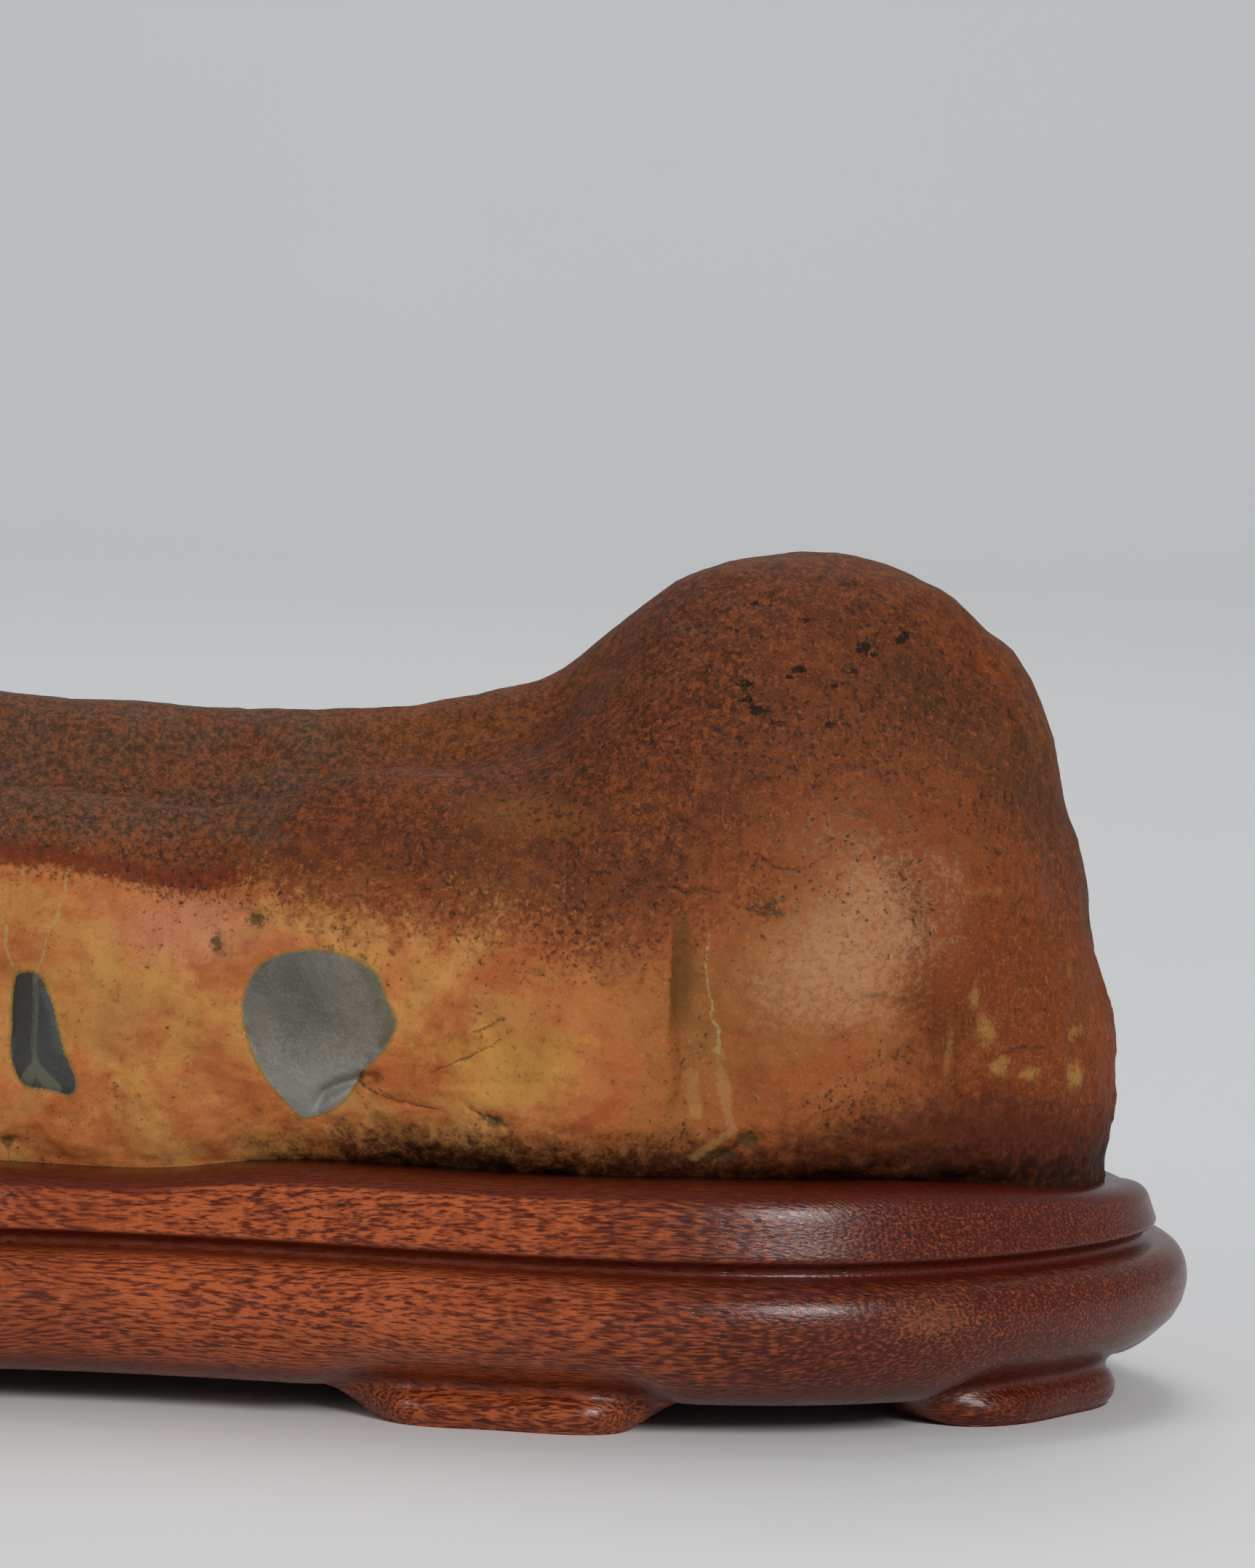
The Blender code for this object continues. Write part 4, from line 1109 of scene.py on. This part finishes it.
def oiled_rosewood(looks):
    """Rosewood, carved, scraped and oiled.

    Its fibres run along the stand. Fine paler and darker layers lie about a third of a millimetre
    apart, so the carved curves cut them into chevrons in front and into ripples round the ends, and
    open pores show as dark dashes that shorten to dots where the cut turns across the fibre.
    """
    material, shader, add = new_material("oiled rosewood")
    place = add("TexCoord", output="Object")
    patterns = {}
    for name, (length, width, detail) in WOOD_PATTERNS.items():
        along = add("Mapping", {"Vector": place, "Scale": fibre_scale(length, width)})
        patterns[name] = add("TexNoise", {"Vector": along, "Scale": 1.0, "Detail": detail})

    # The depth of each point below the first growth layer, turned into waves of pale and dark
    across = add("VectorMath", {0: place, 1: (LAYER_TILT, 1.0, 0.0)}, output="Value",
                 operation="DOT_PRODUCT")
    for name, shift in (("broad", LAYER_WAVE), ("fibre", LAYER_JITTER)):
        across = add("Math", {0: patterns[name], 1: shift, 2: across}, operation="MULTIPLY_ADD")
    turns = add("Math", {0: across, 1: 2.0 * math.pi / looks.layer_spacing}, operation="MULTIPLY")
    wave = add("Math", {0: turns}, operation="SINE")
    layers = add("MapRange", {"Value": wave, **between(*LAYER_EDGE), "To Max": LAYER_CONTRAST},
                 **SMOOTH)
    # Fine dashes of paler fibre, closer together where the layer under them is pale
    bright = add("Math", {0: patterns["dashes"], 1: DASH_CONTRAST, 2: layers},
                 operation="MULTIPLY_ADD")
    bright = add("MapRange", {"Value": bright, **between(*DASH_EDGE)}, **SMOOTH)
    wood = add("Mix", {0: bright, MIX_A: (*looks.dark_wood, 1.0),
                       MIX_B: (*looks.bright_wood, 1.0)}, **MIX)
    wood = lay_over(add, wood, WOOD_LAYERS, patterns)

    # Open pores, which come in stretches
    along = add("Mapping", {"Vector": place, "Scale": fibre_scale(PORE_LENGTH, PORE_WIDTH)})
    middle = add("TexVoronoi", {"Vector": along, "Scale": 1.0}, feature="F1")
    hole, open_here = (
        add("MapRange", {"Value": value, **between(*edge)}, **SMOOTH)
        for value, edge in ((middle, PORE_EDGE), (patterns["stretches"], PORE_STRETCHES)))
    pore = add("Math", {0: hole, 1: open_here}, operation="MULTIPLY")
    share = add("Math", {0: pore, 1: PORE_SHARE}, operation="MULTIPLY")
    wood = add("Mix", {0: share, MIX_A: wood, MIX_B: linear(PORE_COLOUR)}, **MIX)

    height = patterns["fine"]
    for part, rise in ((pore, PORE_DEPTH), (bright, FIBRE_RISE)):
        height = add("Math", {0: part, 1: rise, 2: height}, operation="MULTIPLY_ADD")
    bump = add("Bump", {"Strength": looks.pore_depth, "Distance": WOOD_BUMP, "Height": height})
    gloss = add("Math", {0: patterns["fine"], 1: WOOD_GLOSS_SPREAD, 2: looks.oil_roughness},
                operation="MULTIPLY_ADD")
    set_inputs(shader, {
        "Base Color": wood, "Roughness": gloss, "Normal": bump, "IOR": WOOD_IOR,
        "Specular IOR Level": looks.oil_shine, "Coat Weight": looks.oil_coat,
        "Coat Roughness": OIL_FILM_ROUGHNESS})
    return material


def matt_paper(looks):
    """Seamless photographer's paper: matt, with no pattern that shows."""
    material, shader, add = new_material("matt seamless paper")
    place = add("TexCoord", output="Object")
    soft = add("TexNoise", {"Vector": place, "Scale": repeats(60.0)})
    darker = tuple(0.98 * c for c in looks.paper)
    tone = add("Mix", {0: soft, MIX_A: (*darker, 1.0), MIX_B: (*looks.paper, 1.0)}, **MIX)
    set_inputs(shader, {"Base Color": tone, "Roughness": 0.75})
    return material


# ---------------------------------------------------------------- stage
SWEEP_FROM_Y = 0.9
SWEEP_RADIUS = 0.35
SWEEP_TOP = 1.2
SWEEP_HALF_WIDTH = 1.6
SWEEP_TURNS = 16
CAMERA_PLACE = Vector((0.0345, -0.575, 0.0956))
CAMERA_PITCH = math.radians(5.2)
CAMERA_ROLL = math.radians(2.0)
FOCAL_PIXELS = 11000.0
FRAME_HEIGHT_PIXELS = 2156
SENSOR_HEIGHT = 36.0
AIM = Vector((0.03, -0.01, 0.03))
FAR_AIM = Vector((0.0, 0.9, 0.1))
# The softboxes: name, direction from the aim, distance, size, colour and aim
SOFTBOXES = (
    ("key", (0.46, -0.8, 0.46), 0.9, 0.28, "#fffdfb", AIM),
    ("overhead", (0.1, 0.35, 0.93), 1.0, 0.22, "#fbfdff", AIM),
    ("rear", (-0.1, 0.5, 0.68), 0.9, 0.5, "#fbfdff", AIM),
    ("left", (-0.75, -0.6, 0.3), 1.1, 0.3, "#f6faff", AIM),
    ("backdrop", (0.0, -0.25, 1.0), 0.85, 0.6, "#fffefc", FAR_AIM),
)


def sweep_floor():
    """A floor that turns up into a wall behind the stand."""
    profile = [(y, 0.0) for y in (-SWEEP_HALF_WIDTH, -0.6, -0.1, SWEEP_FROM_Y)]
    for turn in np.linspace(0.0, math.pi / 2, SWEEP_TURNS + 1)[1:]:
        profile.append((SWEEP_FROM_Y + SWEEP_RADIUS * math.sin(turn),
                        SWEEP_RADIUS * (1.0 - math.cos(turn))))
    profile.append((SWEEP_FROM_Y + SWEEP_RADIUS, SWEEP_TOP))
    across = np.linspace(-SWEEP_HALF_WIDTH, SWEEP_HALF_WIDTH, 9)
    block = bmesh.new()
    rows = [[block.verts.new((x, y, z)) for x in across] for y, z in profile]
    join_rows(block, rows, closed=False)
    return block


def add_camera():
    camera_data = bpy.data.cameras.new("camera")
    camera_data.sensor_fit = "VERTICAL"
    camera_data.sensor_height = SENSOR_HEIGHT
    camera_data.lens = FOCAL_PIXELS / FRAME_HEIGHT_PIXELS * SENSOR_HEIGHT
    camera_data.clip_start = 0.01
    camera_data.clip_end = 10.0
    ahead = Vector((0.0, math.cos(CAMERA_PITCH), -math.sin(CAMERA_PITCH)))
    level = Vector((1.0, 0.0, 0.0))
    upright = level.cross(ahead)
    right = math.cos(CAMERA_ROLL) * level + math.sin(CAMERA_ROLL) * upright
    up = -math.sin(CAMERA_ROLL) * level + math.cos(CAMERA_ROLL) * upright
    camera = bpy.data.objects.new("camera", camera_data)
    axes = Matrix((right, up, -ahead)).transposed().to_4x4()
    camera.matrix_world = Matrix.Translation(CAMERA_PLACE) @ axes
    bpy.context.scene.collection.objects.link(camera)
    bpy.context.scene.camera = camera


def add_soft_light(name, power, direction, distance, size, colour, aim):
    """A square softbox that faces aim from direction."""
    lamp = bpy.data.lights.new(name, "AREA")
    lamp.shape = "SQUARE"
    lamp.size = size
    lamp.energy = power
    lamp.color = linear(colour)[:3]
    light = bpy.data.objects.new(name, lamp)
    towards = Vector(direction).normalized()
    light.location = aim + towards * distance
    light.rotation_euler = towards.to_track_quat("Z", "Y").to_euler()
    bpy.context.scene.collection.objects.link(light)


# ---------------------------------------------------------------- settings
SLIDER = {"subtype": "FACTOR", "min": 0.0, "max": 1.0}
ROUGHNESS = {"subtype": "FACTOR", "min": 0.05, "max": 1.0}
COLOUR = {"subtype": "COLOR", "size": 3, "min": 0.0, "max": 1.0}
POWER = {"subtype": "POWER", "unit": "POWER", "min": 0.0}


class StoneLooks(bpy.types.PropertyGroup):
    wax_roughness: bpy.props.FloatProperty(
        name="Wax roughness", description="Roughness of the handled, waxed skin",
        default=0.5, **ROUGHNESS)
    wax_shine: bpy.props.FloatProperty(
        name="Wax shine", description="Strength of the skin's reflections, 0.5 being clean stone's",
        default=0.1, **SLIDER)
    eye_roughness: bpy.props.FloatProperty(
        name="Eye roughness", description="Roughness of the grey chalcedony",
        default=0.14, **ROUGHNESS)
    eye_shine: bpy.props.FloatProperty(
        name="Eye shine", description="Strength of the chalcedony's reflections",
        default=0.5, **SLIDER)
    skin_breakup: bpy.props.FloatProperty(
        name="Skin breakup", description="How far the brown skin's edge breaks into grains",
        subtype="FACTOR", min=0.0, max=9.0, default=4.0)
    grain_depth: bpy.props.FloatProperty(
        name="Grain strength", description="Strength of the grain finer than the mesh",
        default=0.7, **SLIDER)


class StandLooks(bpy.types.PropertyGroup):
    dark_wood: bpy.props.FloatVectorProperty(
        name="Dark layer", description="Colour of the darker layers of the wood",
        default=linear("#571f10")[:3], **COLOUR)
    bright_wood: bpy.props.FloatVectorProperty(
        name="Bright layer", description="Colour of the paler layers of the wood",
        default=linear("#ad562c")[:3], **COLOUR)
    layer_spacing: bpy.props.FloatProperty(
        name="Layer spacing", description="Distance from one pale layer to the next",
        subtype="DISTANCE", unit="LENGTH", min=0.0001, max=0.01, default=0.00032)
    oil_roughness: bpy.props.FloatProperty(
        name="Oil roughness", description="Roughness of the oiled surface",
        default=0.18, **ROUGHNESS)
    oil_shine: bpy.props.FloatProperty(
        name="Oil shine", description="Strength of the wood's reflections, 0.5 being bare wood's",
        default=0.25, **SLIDER)
    oil_coat: bpy.props.FloatProperty(
        name="Oil film", description="Share of the clear film that oil leaves on the wood",
        default=0.08, **SLIDER)
    pore_depth: bpy.props.FloatProperty(
        name="Pore strength", description="Strength of the open pores and fibres",
        default=0.8, **SLIDER)


class StageLooks(bpy.types.PropertyGroup):
    paper: bpy.props.FloatVectorProperty(
        name="Paper", description="Colour of the floor and the wall",
        default=linear("#dddedf")[:3], **COLOUR)
    key_power: bpy.props.FloatProperty(
        name="Key light", description="Power of the softbox in front and to the right",
        default=5.5, **POWER)
    overhead_power: bpy.props.FloatProperty(
        name="Overhead light", description="Power of the softbox overhead",
        default=0.9, **POWER)
    rear_power: bpy.props.FloatProperty(
        name="Rear light", description="Power of the softbox above and behind the stone",
        default=0.5, **POWER)
    backdrop_power: bpy.props.FloatProperty(
        name="Backdrop light", description="Power of the softbox over the far floor and the wall",
        default=2.2, **POWER)
    left_power: bpy.props.FloatProperty(
        name="Left light", description="Power of the weak softbox in front and to the left",
        default=1.8, **POWER)
    room_light: bpy.props.FloatProperty(
        name="Room light", description="Strength of the even light from all round",
        min=0.0, default=0.3)


# ---------------------------------------------------------------- operators
class ROCK_OT_add_stone(bpy.types.Operator):
    """Adds the river-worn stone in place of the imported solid"""

    bl_idname = "scholars_rock.add_stone"
    bl_label = "Add Stone"

    def execute(self, context):
        block, zones = shape_stone()
        stone = place_mesh("river_stone", block)
        store_zones(stone.data, zones)
        stone.data.materials.append(waxed_jasper(context.scene.rock_stone))
        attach(stone, "root")
        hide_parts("stone")
        return {"FINISHED"}


class ROCK_OT_add_stand(bpy.types.Operator):
    """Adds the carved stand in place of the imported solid"""

    bl_idname = "scholars_rock.add_stand"
    bl_label = "Add Stand"

    def execute(self, context):
        stand = place_mesh("carved_stand", shape_stand())
        store_zones(stand.data, stand_zones(stand.data))
        stand.data.materials.append(oiled_rosewood(context.scene.rock_stand))
        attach(stand, "root")
        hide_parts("stand")
        return {"FINISHED"}


class ROCK_OT_add_stage(bpy.types.Operator):
    """Adds the paper floor, the soft lights and the camera"""

    bl_idname = "scholars_rock.add_stage"
    bl_label = "Add Stage"

    def execute(self, context):
        looks = context.scene.rock_stage
        paper = place_mesh("paper_sweep", sweep_floor())
        paper.data.materials.append(matt_paper(looks))
        add_camera()
        for name, *light in SOFTBOXES:
            add_soft_light(name + " softbox", getattr(looks, name + "_power"), *light)
        world = bpy.data.worlds.new("even room light")
        world.use_nodes = True
        set_inputs(world.node_tree.nodes["Background"],
                   {"Color": linear("#f4f6fa"), "Strength": looks.room_light})
        context.scene.world = world
        context.scene.view_settings.view_transform = "Standard"
        return {"FINISHED"}


class ROCK_PT_panel(bpy.types.Panel):
    """Lists the pieces of the scholars' rock"""

    bl_label = "Scholars' Rock"
    bl_idname = "ROCK_PT_panel"
    bl_space_type = "VIEW_3D"
    bl_region_type = "UI"
    bl_category = "Scholars' Rock"

    def draw(self, context):
        pieces = (
            (context.scene.rock_stone, ROCK_OT_add_stone),
            (context.scene.rock_stand, ROCK_OT_add_stand),
            (context.scene.rock_stage, ROCK_OT_add_stage),
        )
        for looks, operator in pieces:
            box = self.layout.box()
            for name in looks.bl_rna.properties.keys():
                if name not in {"rna_type", "name"}:
                    box.prop(looks, name)
            box.operator(operator.bl_idname)


SETTINGS = (
    ("rock_stone", StoneLooks),
    ("rock_stand", StandLooks),
    ("rock_stage", StageLooks),
)
CLASSES = (ROCK_OT_add_stone, ROCK_OT_add_stand, ROCK_OT_add_stage, ROCK_PT_panel)


def register():
    for name, looks in SETTINGS:
        bpy.utils.register_class(looks)
        setattr(bpy.types.Scene, name, bpy.props.PointerProperty(type=looks))
    for each in CLASSES:
        bpy.utils.register_class(each)


def unregister():
    for each in reversed(CLASSES):
        bpy.utils.unregister_class(each)
    for name, looks in reversed(SETTINGS):
        delattr(bpy.types.Scene, name)
        bpy.utils.unregister_class(looks)


def main():
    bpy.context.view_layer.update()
    register()
    bpy.ops.scholars_rock.add_stage()
    bpy.ops.scholars_rock.add_stand()
    bpy.ops.scholars_rock.add_stone()


if __name__ == "__main__":
    main()
